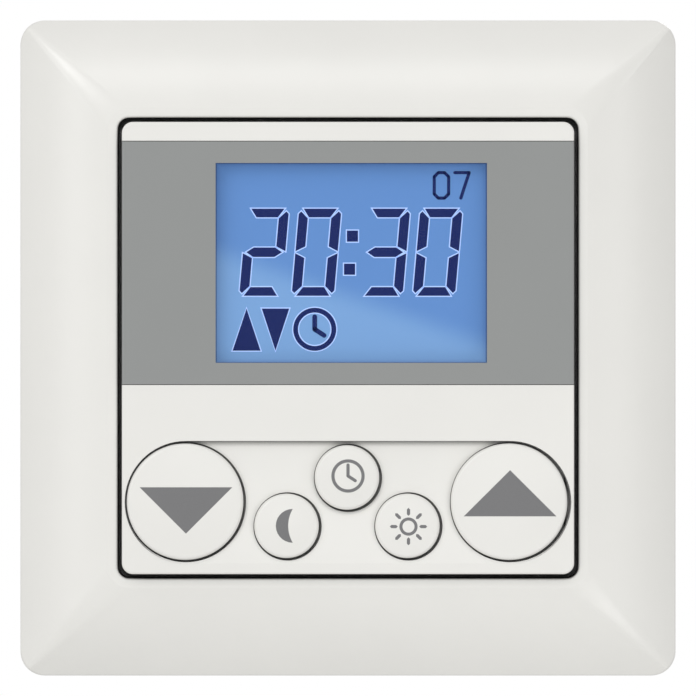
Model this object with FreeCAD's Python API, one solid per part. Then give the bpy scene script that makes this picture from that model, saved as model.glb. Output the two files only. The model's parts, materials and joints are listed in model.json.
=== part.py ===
"""Flush-mounted programmable shutter timer: a square cover frame, a push-button control unit with a
liquid-crystal display, and a mains power unit that sinks into a round wall box.

Frame of the model, in millimetres: +X to the right and +Z up as the user sees it, +Y into the wall.
The origin is the centre of the mounting plate's rear face, which lies on the wall's surface at y = 0.
Everything the user sees has a negative y, and everything in the wall box has a positive y.
"""

import FreeCAD, Part
import math
import os

Vec = FreeCAD.Vector

# ---------------------------------------------------------------- driving dimensions
# Cover frame
FRAME_SIZE = 80.0
FRAME_HEIGHT = 10.5          # wall surface to the rim round the opening
FRAME_EDGE_HEIGHT = 4.8      # wall surface to the foot of the sloping face
FRAME_CORNER_R = 3.0
FRAME_RIM = 1.2              # level rim round the opening
FRAME_BULGE = 0.75           # how far the sloping face swells above a straight line
FRAME_WALL = 1.8
FRAME_RIDGE_R = 0.3          # corner radius of the sloping face at its foot
FRAME_EDGE_ROUND = 0.45      # rounding of the outer edge
FRAME_MOUTH_ROUND = 0.3      # rounding of the opening's edge
FRAME_CURTAIN = 1.4          # wall that runs back from the opening
FRAME_LEDGE = 1.6            # thickness of the ledge that the control unit clamps
FRAME_LEDGE_GAP = 1.0        # between the ledge and the tub that passes through it
FRAME_HOLLOW_R = 2.0         # corner radius of the hollow at the back
FRAME_FLARE = 0.2            # hollow beyond the curtain, at its deepest
FRAME_RIB = 1.0
FRAME_RIB_PITCH = 18.0
FRAME_RIB_SET = 0.4          # ribs end this far short of the ledge's back

# Insert, the visible square of the control unit
INSERT_SIZE = 55.0
INSERT_CORNER_R = 1.35
INSERT_GAP = 0.5             # between the insert and the frame's opening
INSERT_PROUD = 0.8           # insert's face in front of the frame's rim
SHELL_FRONT = 2.0            # front wall of the shell
SHELL_WALL = 1.0             # side walls of the shell
SHELL_EDGE_ROUND = 0.25

# Grey fascia and the display behind it
FASCIA_TOP_STRIP = 2.3       # white strip above the fascia
FASCIA_HEIGHT = 29.7
FASCIA_THICK = 0.8
FASCIA_GAP = 0.08            # hairline gap above and below the fascia
APERTURE_W = 33.0
APERTURE_H = 24.3
APERTURE_X = 0.4             # the display sits a little right of centre
WINDOW_LAP = 0.8             # how far the clear pane runs behind the fascia
WINDOW_THICK = 1.0
LCD_MARGIN = 2.0             # glass beyond the aperture on each side
LCD_CONTACTS = 3.0           # contact strip of the front glass below the rear glass
GLASS_THICK = 0.7
POLARIZER_THICK = 0.2
POLARIZER_INSET = 0.5
GUIDE_THICK = 1.8            # light guide
GUIDE_GAP = 0.2              # between the light guide and the control board
LED_W, LED_H = 1.2, 2.8
LED_SET = 0.6                # light-emitting diodes end this far short of the polarizer
HOLDER_WALL = 1.2
STRIP_THICK = 1.5            # rubber contact strip
STRIP_INSET = 1.0            # contact strip's ends inside the glass's edges

# Buttons
LARGE_HOLE_R = 7.3
SMALL_HOLE_R = 4.15
LARGE_GAP = 0.2              # between a large cap and its hole, all round
SMALL_GAP = 0.22
CAP_LEFT, CAP_UP = 0.6, 0.3  # caps rest off their holes' centres by these shares of the gap
LARGE_SIDE_MARGIN = 0.5      # large hole's edge to the insert's side
LARGE_BASE_MARGIN = 1.45     # large hole's edge to the insert's bottom
HOLE_WEB = 1.1               # least wall between two holes
NIGHT_SPREAD = 7.35          # side buttons of the small trio, either side of the middle
NIGHT_RISE = 5.8             # their centres above the insert's bottom
CLOCK_RISE = 11.7            # the middle button's centre above the insert's bottom
BUTTON_PROUD = 0.6           # cap in front of the insert's face
BUTTON_CROWN = 0.25
BUTTON_EDGE = 0.5
BUTTON_FLANGE_LIP = 0.35     # retaining flange beyond the hole
BUTTON_FLANGE_THICK = 0.8
BUTTON_WALL = 1.1
LEG_LAP = 0.2                # guide legs' root inside the flange
BUTTON_TRAVEL = 0.6
SCOOP_DEPTH = 0.85           # hollow round the buttons, deepest near its top edge
SCOOP_LAP = 0.15             # hollow beyond the large holes
SWITCH_SIZE = 4.5
SWITCH_HEIGHT = 2.0
SWITCH_BORE_DEPTH = 1.5
SWITCH_CORNER_R = 0.4
SWITCH_FOOT_X = 1.35         # feet either side of the switch's middle
SWITCH_FOOT_W = 0.7
SWITCH_FOOT_THICK = 0.2
SWITCH_FOOT_OUT = 0.5        # foot beyond the switch's edge, and as far under it
PLUNGER_R = 1.2
PLUNGER_STICKOUT = 0.8

# Control board and the tray that closes the control unit
BOARD_THICK = 1.2
BOARD_BOSS_R = 2.1
BOARD_PILOT_R = 0.9
BOARD_SCREW_R = 0.85
BOARD_SCREW_END = 0.6        # between the screw's tip and the bottom of its pilot hole
BOARD_HEAD_R = 1.9
BOARD_HEAD = 1.0
BOARD_HEAD_ROUND = 0.4
BOARD_BOSS_INSET = 4.0       # from the insert's side
BOARD_BOSS_TOP_INSET = 3.5   # from the insert's top
BOARD_BOSS_GAP = 1.3         # between a large button's flange and the boss above it
TRAY_WALL = 1.2
TRAY_FLANGE = 1.0
TUB_SIZE = 44.0
TUB_CORNER_R = 6.0
TUB_REACH = 1.2              # rear of the tub behind the wall surface, at the least
TUB_ROOM = 0.8               # behind the tallest part on the control board
TUB_ROUND = 0.5
PEG_R = 1.5
PEG_LENGTH = 3.4
PEG_INSET = 3.5              # pegs' centres inside the tub's sides
PEG_SLIT = 0.5
PEG_ROOT = 0.6               # solid foot of a split peg
NIB_LENGTH = 5.0             # snap nibs on the tray's flange
NIB_REACH = 0.6
NIB_HEIGHT = 0.6
NIB_SET = 0.15               # nib's front behind the flange's front

# Mounting plate
PLATE_THICK = 1.2
PLATE_CLEARANCE = 2.7        # plate's edge inside the frame's outer wall
PLATE_CORNER_R = 4.0
PLATE_OPENING_GAP = 0.5      # round the tub
SCREW_SPACING = 60.0         # wall-box screws
SCREW_SLOT_R = 1.9
SCREW_SLOT_LENGTH = 6.4
TAB_WIDTH = 5.0
TAB_X = 8.3
TAB_END = 1.4                # tab beyond its window
TAB_RELIEF = 0.3             # beside each tab where it is bent from the sheet
CATCH_WIDTH = 2.6            # power unit's nibs, which the tabs' windows catch
CATCH_REACH = 0.9
CATCH_HEIGHT = 1.4
CATCH_SET = 0.2              # nib's front behind the lid's back

# Power unit
UNIT_DIAMETER = 57.0
UNIT_FLAT = 52.0             # across the flats
UNIT_WALL = 1.5
UNIT_ROOM = 2.3              # behind the relays
UNIT_ROUND = 0.8
LID_THICK = 1.6
LID_GAP = 0.4                # between the tub and the lid
POWER_BOARD_THICK = 1.6
POWER_BOARD_GAP = 2.2        # between the lid and the power board
LID_PAD_W, LID_PAD_L = 2.8, 7.0
LID_SCREW_R = 1.2
LID_PILOT_R = 1.1
LID_SCREW_GRIP = 7.0         # lid screw beyond the power board
LID_HEAD_R = 2.1
LID_HEAD_DEPTH = 1.1
BOSS_R = 2.4
BOSS_INSET = 4.0             # screws' centres inside the round wall
VENT_WIDTH = 1.2
VENT_LENGTH = 8.7
VENT_COUNT = 5
VENT_PITCH = 2.8
VENT_Z = 10.4

# Terminals
POLES = 5
POLE_PITCH = 5.0
BLOCK_DEPTH = 12.0           # size along z
BLOCK_END_WALL = 0.9
BLOCK_TOP = -9.5             # upper face
BLOCK_ROUND = 0.4
BLOCK_FLOOR = 1.8            # under the cages
BLOCK_BRIDGE = 0.8           # between a cage's chamber and the screw's head
BLOCK_LIP = 0.8              # driver hole beyond the screw's head
NOTCH_LIP = 1.6              # housing's wall in front of the terminal notch
CAGE_WIDTH = 3.7
CAGE_LENGTH = 6.0
CAGE_TRAVEL = 1.8
CAGE_SIDE = 0.5
CAGE_WALL = 0.8
CAGE_ROOF = 1.2
CAGE_REST = 1.2              # between a cage's floor and the bar when it is fully drawn up
CAGE_SPARE = 0.6             # between the bar and the cage's roof when it is down
WIRE_W = 3.0
BAR_THICK = 0.8
BAR_WIDTH = 2.2
BAR_LEG = 1.0
BAR_LEG_DROP = 1.5           # leg's centre below the block's top
BAR_TAIL = 1.0               # leg beyond the power board
TERMINAL_SCREW_R = 1.25
TERMINAL_HEAD_R = 1.85
TERMINAL_HEAD = 1.8
TERMINAL_HEAD_ROUND = 0.25
TERMINAL_SLOT_W, TERMINAL_SLOT_DEPTH = 0.7, 0.8

# Parts on the control board's back
MCU_X, MCU_Z, MCU_SIZE, MCU_HEIGHT = -8.5, 5.5, 10.0, 1.4
MCU_STAND = 0.15             # body above the board
MCU_LEADS = 11
MCU_LEAD_PITCH = 0.8
MCU_LEAD_W, MCU_LEAD_THICK = 0.35, 0.15
MCU_LEAD_REACH = 1.1         # feet beyond the body
MCU_LEAD_SHOULDER = 0.3
MCU_LEAD_RISE = 0.7
MCU_DOT_R, MCU_DOT_INSET, MCU_DOT_DEPTH = 0.5, 1.2, 0.1
CELL_X, CELL_Z, CELL_R, CELL_HEIGHT = 10.5, 8.5, 5.5, 3.4
CELL_STAND, CELL_ROUND = 0.3, 0.4
CELL_FOOT, CELL_FOOT_X = 1.2, 3.0
CRYSTAL_X, CRYSTAL_Z, CRYSTAL_R, CRYSTAL_LENGTH = -12.6, -5.5, 1.0, 6.0
CRYSTAL_WIRE, CRYSTAL_WIRE_Z, CRYSTAL_WIRE_OUT = 0.3, 0.35, 1.2

# Parts on the power board: places on the board, then sizes
RELAYS = {"relay_up": (18.0, 4.0), "relay_down": (9.8, 4.0)}
RELAY_W, RELAY_L, RELAY_H = 7.6, 20.4, 15.2
RELAY_CORNER_R, RELAY_ROUND = 0.7, 0.4
RELAY_BASE_SET, RELAY_BASE = 0.3, 0.6
MAINS_CAP_X, MAINS_CAP_Z = -17.2, 3.5
MAINS_CAP_W, MAINS_CAP_L, MAINS_CAP_H = 6.0, 17.5, 12.0
MAINS_CAP_CORNER_R, MAINS_CAP_ROUND = 0.8, 0.6
CAN_X, CAN_Z, CAN_R, CAN_H = -8.2, 12.6, 4.0, 12.5
CAN_BEAD_Y, CAN_BEAD = 1.6, 0.4
CAN_BEAD_DEPTH, CAN_CRIMP = 0.3, 0.4
CAN_RIM, CAN_DISH = 1.0, 0.2
DISC_X, DISC_Z, DISC_R, DISC_THICK = -8.2, -0.2, 4.4, 3.4
DISC_ROUND, DISC_STAND = 1.2, 0.8
DISC_LEG_R, DISC_LEG_Z = 0.35, 2.5
FUSE_X, FUSE_Z, FUSE_R, FUSE_H, FUSE_ROUND = -0.5, 19.4, 4.2, 7.8, 0.5
RECTIFIER_X, RECTIFIER_Z = -0.2, 5.0
RECTIFIER_W, RECTIFIER_L, RECTIFIER_H, RECTIFIER_CORNER_R = 5.8, 7.6, 3.0, 0.3

# Plug-in link between the two units
LINK_COLUMNS = 5
LINK_PITCH = 2.54
LINK_PIN = 0.64
LINK_Z = -4.8
LINK_BODY_W = 13.2
LINK_BODY_H = 5.2
LINK_SOCKET_HEIGHT = 3.9
LINK_HEADER_HEIGHT = 2.5
LINK_ENGAGE = 2.6            # how far the pins stand in the socket
LINK_SPARE = 0.4             # socket's holes beyond the pins' tips
LINK_TAIL = 1.2              # pins beyond the power board
LINK_HOLE = 0.95

# Cross recesses, as shares of a screw head's radius
CROSS_SPAN, CROSS_WIDTH = 1.1, 0.28
CROSS_DEPTH = 0.5

# Fits
SLIDE_FIT = 0.2              # moulded parts that slide past each other
SEAT_FIT = 0.1               # faces that clamp
SHAFT_FIT = 0.05             # round parts that turn or plug
NOTHING = 1e-3               # overlap where one piece is built from two forms

# ---------------------------------------------------------------- levels and places that follow
def clear_of(distance, across):
    """Offset one way that keeps two centres distance apart when they are across apart the other way."""
    return math.sqrt(max(0.0, distance**2 - across**2))


OPENING = INSERT_SIZE + 2 * INSERT_GAP
LEDGE_BACK_Y = -(PLATE_THICK + SEAT_FIT)
LEDGE_FRONT_Y = LEDGE_BACK_Y - FRAME_LEDGE
SHELL_BACK_Y = LEDGE_FRONT_Y - SEAT_FIT
TRAY_FRONT_Y = SHELL_BACK_Y - TRAY_FLANGE

# Insert's face. In a shallow frame the display and board carry it forward, as they need their own depth.
DISPLAY_DEPTH = max(SHELL_FRONT, FASCIA_THICK + WINDOW_THICK) + SEAT_FIT
CELL_DEPTH = 2 * (POLARIZER_THICK + GLASS_THICK)
BOARD_DEPTH = DISPLAY_DEPTH + CELL_DEPTH + GUIDE_THICK + GUIDE_GAP + BOARD_THICK
FACE_Y = min(-(FRAME_HEIGHT + INSERT_PROUD), TRAY_FRONT_Y - SEAT_FIT - BOARD_DEPTH)
SHELL_INNER_Y = FACE_Y + SHELL_FRONT
FASCIA_BACK_Y = FACE_Y + FASCIA_THICK
WINDOW_BACK_Y = FASCIA_BACK_Y + WINDOW_THICK

# Display stack, front to back, and the board behind it
FRONT_POLARIZER_Y = FACE_Y + DISPLAY_DEPTH
FRONT_GLASS_Y = FRONT_POLARIZER_Y + POLARIZER_THICK
REAR_GLASS_Y = FRONT_GLASS_Y + GLASS_THICK
REAR_POLARIZER_Y = REAR_GLASS_Y + GLASS_THICK
GUIDE_Y = REAR_POLARIZER_Y + POLARIZER_THICK
GUIDE_BACK_Y = GUIDE_Y + GUIDE_THICK
BOARD_FRONT_Y = GUIDE_BACK_Y + GUIDE_GAP
BOARD_BACK_Y = BOARD_FRONT_Y + BOARD_THICK
LED_FRONT_Y = GUIDE_Y + LED_SET

# Tray, lid and power board
TUB_BACK = max(TUB_REACH, BOARD_BACK_Y + CELL_HEIGHT + TUB_ROOM + TRAY_WALL)
LID_FRONT_Y = TUB_BACK + LID_GAP
LID_BACK_Y = LID_FRONT_Y + LID_THICK
POWER_FRONT_Y = LID_BACK_Y + POWER_BOARD_GAP
POWER_BACK_Y = POWER_FRONT_Y + POWER_BOARD_THICK
UNIT_BACK = POWER_BACK_Y + RELAY_H + UNIT_ROOM + UNIT_WALL
NIB_Y = (TRAY_FRONT_Y + NIB_SET, TRAY_FRONT_Y + NIB_SET + NIB_HEIGHT)
CATCH_Y = (LID_BACK_Y + CATCH_SET, LID_BACK_Y + CATCH_SET + CATCH_HEIGHT)
TAB_LENGTH = CATCH_Y[1] + TAB_END

# Terminals, front to back
CAGE_FRONT_Y = POWER_BACK_Y + BLOCK_FLOOR
WIRE_ROOM = CAGE_TRAVEL + CAGE_REST
BAR_Y = CAGE_FRONT_Y + CAGE_WALL + WIRE_ROOM
CAGE_ROOF_Y = BAR_Y + BAR_THICK + CAGE_SPARE
CAGE_BACK_Y = CAGE_ROOF_Y + CAGE_ROOF
CHAMBER_BACK_Y = CAGE_BACK_Y + CAGE_TRAVEL + SLIDE_FIT
HEAD_SEAT_Y = CHAMBER_BACK_Y + BLOCK_BRIDGE
BLOCK_BACK = HEAD_SEAT_Y + TERMINAL_HEAD + BLOCK_LIP
NOTCH_FRONT_Y = POWER_BACK_Y + NOTCH_LIP

INSERT_HALF = INSERT_SIZE / 2
SHELL_BORE = INSERT_SIZE - 2 * SHELL_WALL
BOARD_SIDE = SHELL_BORE - 2 * SLIDE_FIT
FASCIA_TOP = INSERT_HALF - FASCIA_TOP_STRIP
FASCIA_BOTTOM = FASCIA_TOP - FASCIA_HEIGHT
DISPLAY_Z = (FASCIA_TOP + FASCIA_BOTTOM) / 2
WINDOW_W = APERTURE_W + 2 * WINDOW_LAP
WINDOW_H = APERTURE_H + 2 * WINDOW_LAP
LCD_W = APERTURE_W + 2 * LCD_MARGIN
LCD_H = APERTURE_H + 2 * LCD_MARGIN
LCD_TOP = DISPLAY_Z + LCD_H / 2
LCD_FOOT = DISPLAY_Z - LCD_H / 2
GUIDE_W = LCD_W - LED_W - 3 * SEAT_FIT
STRIP_W = LCD_W - 2 * STRIP_INSET
STRIP_Z = LCD_FOOT - LCD_CONTACTS / 2

TUB_BORE = TUB_SIZE - 2 * TRAY_WALL
PEG_X = TUB_SIZE / 2 - PEG_INSET
PLATE_SIDE = FRAME_SIZE - 2 * FRAME_WALL - 2 * PLATE_CLEARANCE
BOSS_AT = (UNIT_DIAMETER / 2 - BOSS_INSET) / math.sqrt(2)
BOSSES = [(sx * BOSS_AT, sz * BOSS_AT) for sx in (-1, 1) for sz in (-1, 1)]
TERMINAL_X = [(i - (POLES - 1) / 2) * POLE_PITCH for i in range(POLES)]
BLOCK_W = (POLES - 1) * POLE_PITCH + CAGE_WIDTH + 2 * SLIDE_FIT + 2 * BLOCK_END_WALL
BLOCK_FOOT = BLOCK_TOP - BLOCK_DEPTH
BLOCK_Z = (BLOCK_TOP + BLOCK_FOOT) / 2
BAR_LEG_Z = BLOCK_TOP - BAR_LEG_DROP
LINK_PLACES = [
    ((i - (LINK_COLUMNS - 1) / 2) * LINK_PITCH, LINK_Z + side * LINK_PITCH / 2)
    for i in range(LINK_COLUMNS)
    for side in (-1, 1)
]

# Buttons: the large pair stand in from the insert's sides, and the small trio keeps clear of them
LARGE_X = INSERT_HALF - LARGE_SIDE_MARGIN - LARGE_HOLE_R
LARGE_Z = -INSERT_HALF + LARGE_BASE_MARGIN + LARGE_HOLE_R
NIGHT_Z = -INSERT_HALF + NIGHT_RISE
NIGHT_X = min(NIGHT_SPREAD, LARGE_X - clear_of(LARGE_HOLE_R + SMALL_HOLE_R + HOLE_WEB, LARGE_Z - NIGHT_Z))
CLOCK_Z = max(-INSERT_HALF + CLOCK_RISE, NIGHT_Z + clear_of(2 * SMALL_HOLE_R + HOLE_WEB, NIGHT_X))

# name, x, z, hole radius and gap round the cap of each button
BUTTONS = [
    ("down", -LARGE_X, LARGE_Z, LARGE_HOLE_R, LARGE_GAP),
    ("up", LARGE_X, LARGE_Z, LARGE_HOLE_R, LARGE_GAP),
    ("night", -NIGHT_X, NIGHT_Z, SMALL_HOLE_R, SMALL_GAP),
    ("clock", 0.0, CLOCK_Z, SMALL_HOLE_R, SMALL_GAP),
    ("day", NIGHT_X, NIGHT_Z, SMALL_HOLE_R, SMALL_GAP),
]

# Screws that hold the control board: beside the display, and above the large buttons
BOARD_SCREW_LOW = LARGE_Z + LARGE_HOLE_R + BUTTON_FLANGE_LIP + BOARD_BOSS_GAP + BOARD_BOSS_R
BOARD_SCREWS = [
    (side * (INSERT_HALF - BOARD_BOSS_INSET), z)
    for side in (-1, 1)
    for z in (INSERT_HALF - BOARD_BOSS_TOP_INSET, BOARD_SCREW_LOW)
]


# ---------------------------------------------------------------- helpers
def block(x0, x1, y0, y1, z0, z1):
    """Box between two corners."""
    return Part.makeBox(x1 - x0, y1 - y0, z1 - z0, Vec(x0, y0, z0))


def centred(w, h, y0, y1, x=0.0, z=0.0):
    """Box of width w and height h round (x, z), from y0 to y1."""
    return block(x - w / 2, x + w / 2, y0, y1, z - h / 2, z + h / 2)


def rod(r, y0, y1, x=0.0, z=0.0):
    """Cylinder along Y."""
    return Part.makeCylinder(r, y1 - y0, Vec(x, y0, z), Vec(0, 1, 0))


def rounded_wire(w, h, r, y, x=0.0, z=0.0):
    """Rounded rectangle in the plane at y."""
    a, b = w / 2, h / 2
    c = r * (1 - math.sqrt(0.5))
    edges = []
    corners = [(a, b), (-a, b), (-a, -b), (a, -b)]
    ends = []
    for px, pz in corners:
        sx, sz = math.copysign(1, px), math.copysign(1, pz)
        along_x = Vec(x + px - sx * r, y, z + pz)
        along_z = Vec(x + px, y, z + pz - sz * r)
        mid = Vec(x + px - sx * c, y, z + pz - sz * c)
        first, last = (along_z, along_x) if sx == sz else (along_x, along_z)
        ends.append((first, mid, last))
    for i, (first, mid, last) in enumerate(ends):
        edges.append(Part.Arc(first, mid, last).toShape())
        edges.append(Part.LineSegment(last, ends[(i + 1) % 4][0]).toShape())
    return Part.Wire(edges)


def prism(w, h, r, y0, y1, x=0.0, z=0.0):
    """Rounded rectangle drawn out along Y."""
    return Part.Face(rounded_wire(w, h, r, y0, x, z)).extrude(Vec(0, y1 - y0, 0))


def turned(edges, x, z):
    """Solid of revolution about the line along Y through (x, z); its edges are drawn in the plane z = 0."""
    face = Part.Face(Part.Wire(edges))
    solid = face.revolve(Vec(0, 0, 0), Vec(0, 1, 0), 360)
    solid.translate(Vec(x, 0, z))
    return solid


def lines(points):
    """Straight edges through points."""
    return [Part.LineSegment(a, b).toShape() for a, b in zip(points, points[1:])]


def fused(first, *others):
    """One solid from several that touch or overlap."""
    return first.fuse(list(others)).removeSplitter() if others else first


def edges_at(shape, test):
    """Edges whose every sampled point passes the test."""
    found = []
    for edge in shape.Edges:
        if all(test(p) for p in edge.discretize(5)):
            found.append(edge)
    return found


def cross(head_r, y0, y1, x, z):
    """Cross-shaped prism for a screw's recess."""
    arm, width = head_r * CROSS_SPAN, head_r * CROSS_WIDTH
    return centred(arm, width, y0, y1, x, z).fuse(centred(width, arm, y0, y1, x, z))


def save(name, shape):
    """Writes one node."""
    solids = shape.Solids
    if not solids or not all(s.isValid() and s.Volume > 0 for s in solids):
        raise ValueError(f"{name} isn't a valid solid")
    kept = solids[0] if len(solids) == 1 else Part.makeCompound(solids)
    kept.exportStep(f"parts/{name}.step")
    print(f"{name}: {len(solids)} solid(s), {sum(s.Volume for s in solids):.1f} mm3")


# ---------------------------------------------------------------- cover frame
def frame_slope():
    """Places on the sloping face as (inset from the outer edge, height above the wall), foot first."""
    run = (FRAME_SIZE - OPENING) / 2 - FRAME_RIM
    rise = FRAME_HEIGHT - FRAME_EDGE_HEIGHT
    chord = math.hypot(run, rise)
    radius = (chord**2 / 4 + FRAME_BULGE**2) / (2 * FRAME_BULGE)
    half_angle = math.asin(chord / 2 / radius)
    ux, uy = run / chord, rise / chord
    places = []
    steps = 6
    for i in range(steps + 1):
        a = half_angle * (2 * i / steps - 1)
        along = chord / 2 + radius * math.sin(a)
        above = radius * math.cos(a) - radius * math.cos(half_angle)
        places.append((along * ux - above * uy, FRAME_EDGE_HEIGHT + along * uy + above * ux))
    return places


def frame_skin():
    """Outer form of the frame, solid inside."""
    places = frame_slope()
    top_r = INSERT_CORNER_R + FRAME_RIM
    run = places[-1][0]
    wires = []
    for inset, height in places:
        side = FRAME_SIZE - 2 * inset
        r = FRAME_RIDGE_R + (top_r - FRAME_RIDGE_R) * max(inset, 0) / run
        wires.append(rounded_wire(side, side, r, -height))
    slope = Part.makeLoft(wires, True, False)
    outline = prism(FRAME_SIZE, FRAME_SIZE, FRAME_CORNER_R, -FRAME_HEIGHT - 1, 0)
    base = prism(FRAME_SIZE, FRAME_SIZE, FRAME_CORNER_R, -FRAME_EDGE_HEIGHT, 0)
    return fused(base, slope.common(outline))


def cover_frame():
    """Moulded frame: bulging slopes, a level rim, a hollow back with ribs, and the clamped ledge."""
    skin = frame_skin()
    foot = FRAME_SIZE / 2 - 0.01

    def outer_edge(p):
        flush = max(abs(p.x), abs(p.z)) > foot - FRAME_CORNER_R
        return flush and -FRAME_HEIGHT + 1 < p.y < -FRAME_EDGE_HEIGHT / 2

    rims = [e for e in edges_at(skin, outer_edge) if abs(e.tangentAt(e.FirstParameter).y) < 0.9]
    skin = skin.makeFillet(FRAME_EDGE_ROUND, rims)

    curtain = OPENING + 2 * FRAME_CURTAIN
    hollow_side = FRAME_SIZE - 2 * FRAME_WALL
    deepest = curtain + 2 * FRAME_FLARE
    foot_y = FRAME_WALL - FRAME_EDGE_HEIGHT - FRAME_BULGE
    hollow = Part.makeLoft(
        [
            rounded_wire(hollow_side, hollow_side, FRAME_HOLLOW_R, 1),
            rounded_wire(hollow_side, hollow_side, FRAME_HOLLOW_R, foot_y),
            rounded_wire(deepest, deepest, INSERT_CORNER_R, -FRAME_HEIGHT + FRAME_WALL),
        ],
        True,
        True,
    )
    core = prism(curtain, curtain, INSERT_CORNER_R, -FRAME_HEIGHT - 1, LEDGE_BACK_Y)
    ribs = []
    rib_y = (-FRAME_HEIGHT, LEDGE_BACK_Y - FRAME_RIB_SET)
    for at in (-FRAME_RIB_PITCH, 0, FRAME_RIB_PITCH):
        ribs += [centred(FRAME_SIZE, FRAME_RIB, *rib_y, 0, at), centred(FRAME_RIB, FRAME_SIZE, *rib_y, at, 0)]
    body = skin.cut(hollow.cut([core, *ribs]))
    mouth = prism(OPENING, OPENING, INSERT_CORNER_R, -FRAME_HEIGHT - 1, LEDGE_FRONT_Y)
    ledge = TUB_SIZE + 2 * FRAME_LEDGE_GAP
    through = prism(ledge, ledge, TUB_CORNER_R, -FRAME_HEIGHT - 1, 1)
    body = body.cut([mouth, through]).removeSplitter()

    def mouth_edge(p):
        return abs(p.y + FRAME_HEIGHT) < 0.01 and max(abs(p.x), abs(p.z)) < OPENING / 2 + 0.01

    return body.makeFillet(FRAME_MOUTH_ROUND, edges_at(body, mouth_edge))


# ---------------------------------------------------------------- front shell, fascia and window
def scoop():
    """Hollow that the buttons stand in: a stadium in plan, stepped at its top and fading out at its foot."""
    r = LARGE_HOLE_R + SCOOP_LAP
    top, foot = LARGE_Z + r, LARGE_Z - r
    ahead = FACE_Y - 1
    deep = FACE_Y + SCOOP_DEPTH
    start, end = Vec(-INSERT_HALF, deep, top), Vec(-INSERT_HALF, FACE_Y, foot)
    mid = (start + end) * 0.5 + Vec(0, SCOOP_DEPTH * 0.3, 0)
    outline = Part.Wire(
        [Part.Arc(start, mid, end).toShape()]
        + lines([end, Vec(-INSERT_HALF, ahead, foot), Vec(-INSERT_HALF, ahead, top), start])
    )
    wedge = Part.Face(outline).extrude(Vec(INSERT_SIZE, 0, 0))
    stadium = prism(2 * (LARGE_X + r), 2 * r, r - NOTHING, ahead, deep + 1, 0, LARGE_Z)
    return wedge.common(stadium)


def front_shell():
    """White front of the control unit, open at the back."""
    body = prism(INSERT_SIZE, INSERT_SIZE, INSERT_CORNER_R, FACE_Y, SHELL_BACK_Y)
    rim = edges_at(body, lambda p: abs(p.y - FACE_Y) < 0.01)
    body = body.makeFillet(SHELL_EDGE_ROUND, rim)
    cuts = [
        prism(SHELL_BORE, SHELL_BORE, INSERT_CORNER_R - SHELL_WALL + 0.2, SHELL_INNER_Y, SHELL_BACK_Y + 1),
        block(-INSERT_HALF - 1, INSERT_HALF + 1, FACE_Y - 1, FASCIA_BACK_Y, FASCIA_BOTTOM, FASCIA_TOP),
        centred(WINDOW_W + 2 * SEAT_FIT, WINDOW_H + 2 * SEAT_FIT, FACE_Y, SHELL_INNER_Y + 1,
                APERTURE_X, DISPLAY_Z),
        scoop(),
    ]
    cuts += [rod(r, FACE_Y - 1, SHELL_INNER_Y + NOTHING, x, z) for _, x, z, r, _ in BUTTONS]
    window_y = (NIB_Y[0] - SEAT_FIT, NIB_Y[1] + SEAT_FIT)
    cuts += [centred(*size, *window_y, x, z) for x, z, size in tray_nibs(SLIDE_FIT)]
    body = body.cut(cuts)
    bosses = [rod(BOARD_BOSS_R, SHELL_INNER_Y - NOTHING, BOARD_FRONT_Y, x, z) for x, z in BOARD_SCREWS]
    body = fused(body, *bosses)
    return body.cut([rod(BOARD_PILOT_R, SHELL_INNER_Y, BOARD_FRONT_Y + 1, x, z) for x, z in BOARD_SCREWS])


def display_fascia():
    """Grey plate across the insert, with the display's aperture."""
    height = FASCIA_HEIGHT - 2 * FASCIA_GAP
    plate = centred(INSERT_SIZE, height, FACE_Y, FASCIA_BACK_Y, 0, DISPLAY_Z)
    sides = edges_at(plate, lambda p: abs(p.y - FACE_Y) < 0.01 and abs(p.x) > INSERT_HALF - 0.01)
    plate = plate.makeFillet(SHELL_EDGE_ROUND, sides)
    return plate.cut(centred(APERTURE_W, APERTURE_H, FACE_Y - 1, FASCIA_BACK_Y + 1, APERTURE_X, DISPLAY_Z))


def display_window():
    return centred(WINDOW_W, WINDOW_H, FASCIA_BACK_Y, WINDOW_BACK_Y, APERTURE_X, DISPLAY_Z)


# ---------------------------------------------------------------- display module
def display_module():
    """The liquid-crystal cell, its polarizers, the backlight and the rubber contact strip."""
    film_w, film_h = LCD_W - 2 * POLARIZER_INSET, LCD_H - 2 * POLARIZER_INSET
    left = APERTURE_X - LCD_W / 2
    right = left + LCD_W
    here = (APERTURE_X, DISPLAY_Z)
    led_x = right - LED_W / 2
    led_places = [DISPLAY_Z - LCD_H / 4, DISPLAY_Z + LCD_H / 4]
    return {
        "lcd_front_polarizer": centred(film_w, film_h, FRONT_POLARIZER_Y, FRONT_GLASS_Y, *here),
        "lcd_front_glass": block(left, right, FRONT_GLASS_Y, REAR_GLASS_Y, LCD_FOOT - LCD_CONTACTS, LCD_TOP),
        "lcd_rear_glass": block(left, right, REAR_GLASS_Y, REAR_POLARIZER_Y, LCD_FOOT, LCD_TOP),
        "lcd_rear_polarizer": centred(film_w, film_h, REAR_POLARIZER_Y, GUIDE_Y, *here),
        "backlight_guide": block(left, left + GUIDE_W, GUIDE_Y, GUIDE_BACK_Y, LCD_FOOT, LCD_TOP),
        "contact_strip": centred(STRIP_W, STRIP_THICK, REAR_GLASS_Y, BOARD_FRONT_Y, APERTURE_X, STRIP_Z),
        "backlight_leds": Part.makeCompound(
            [centred(LED_W, LED_H, LED_FRONT_Y, BOARD_FRONT_Y, led_x, z) for z in led_places]
        ),
    }


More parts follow.
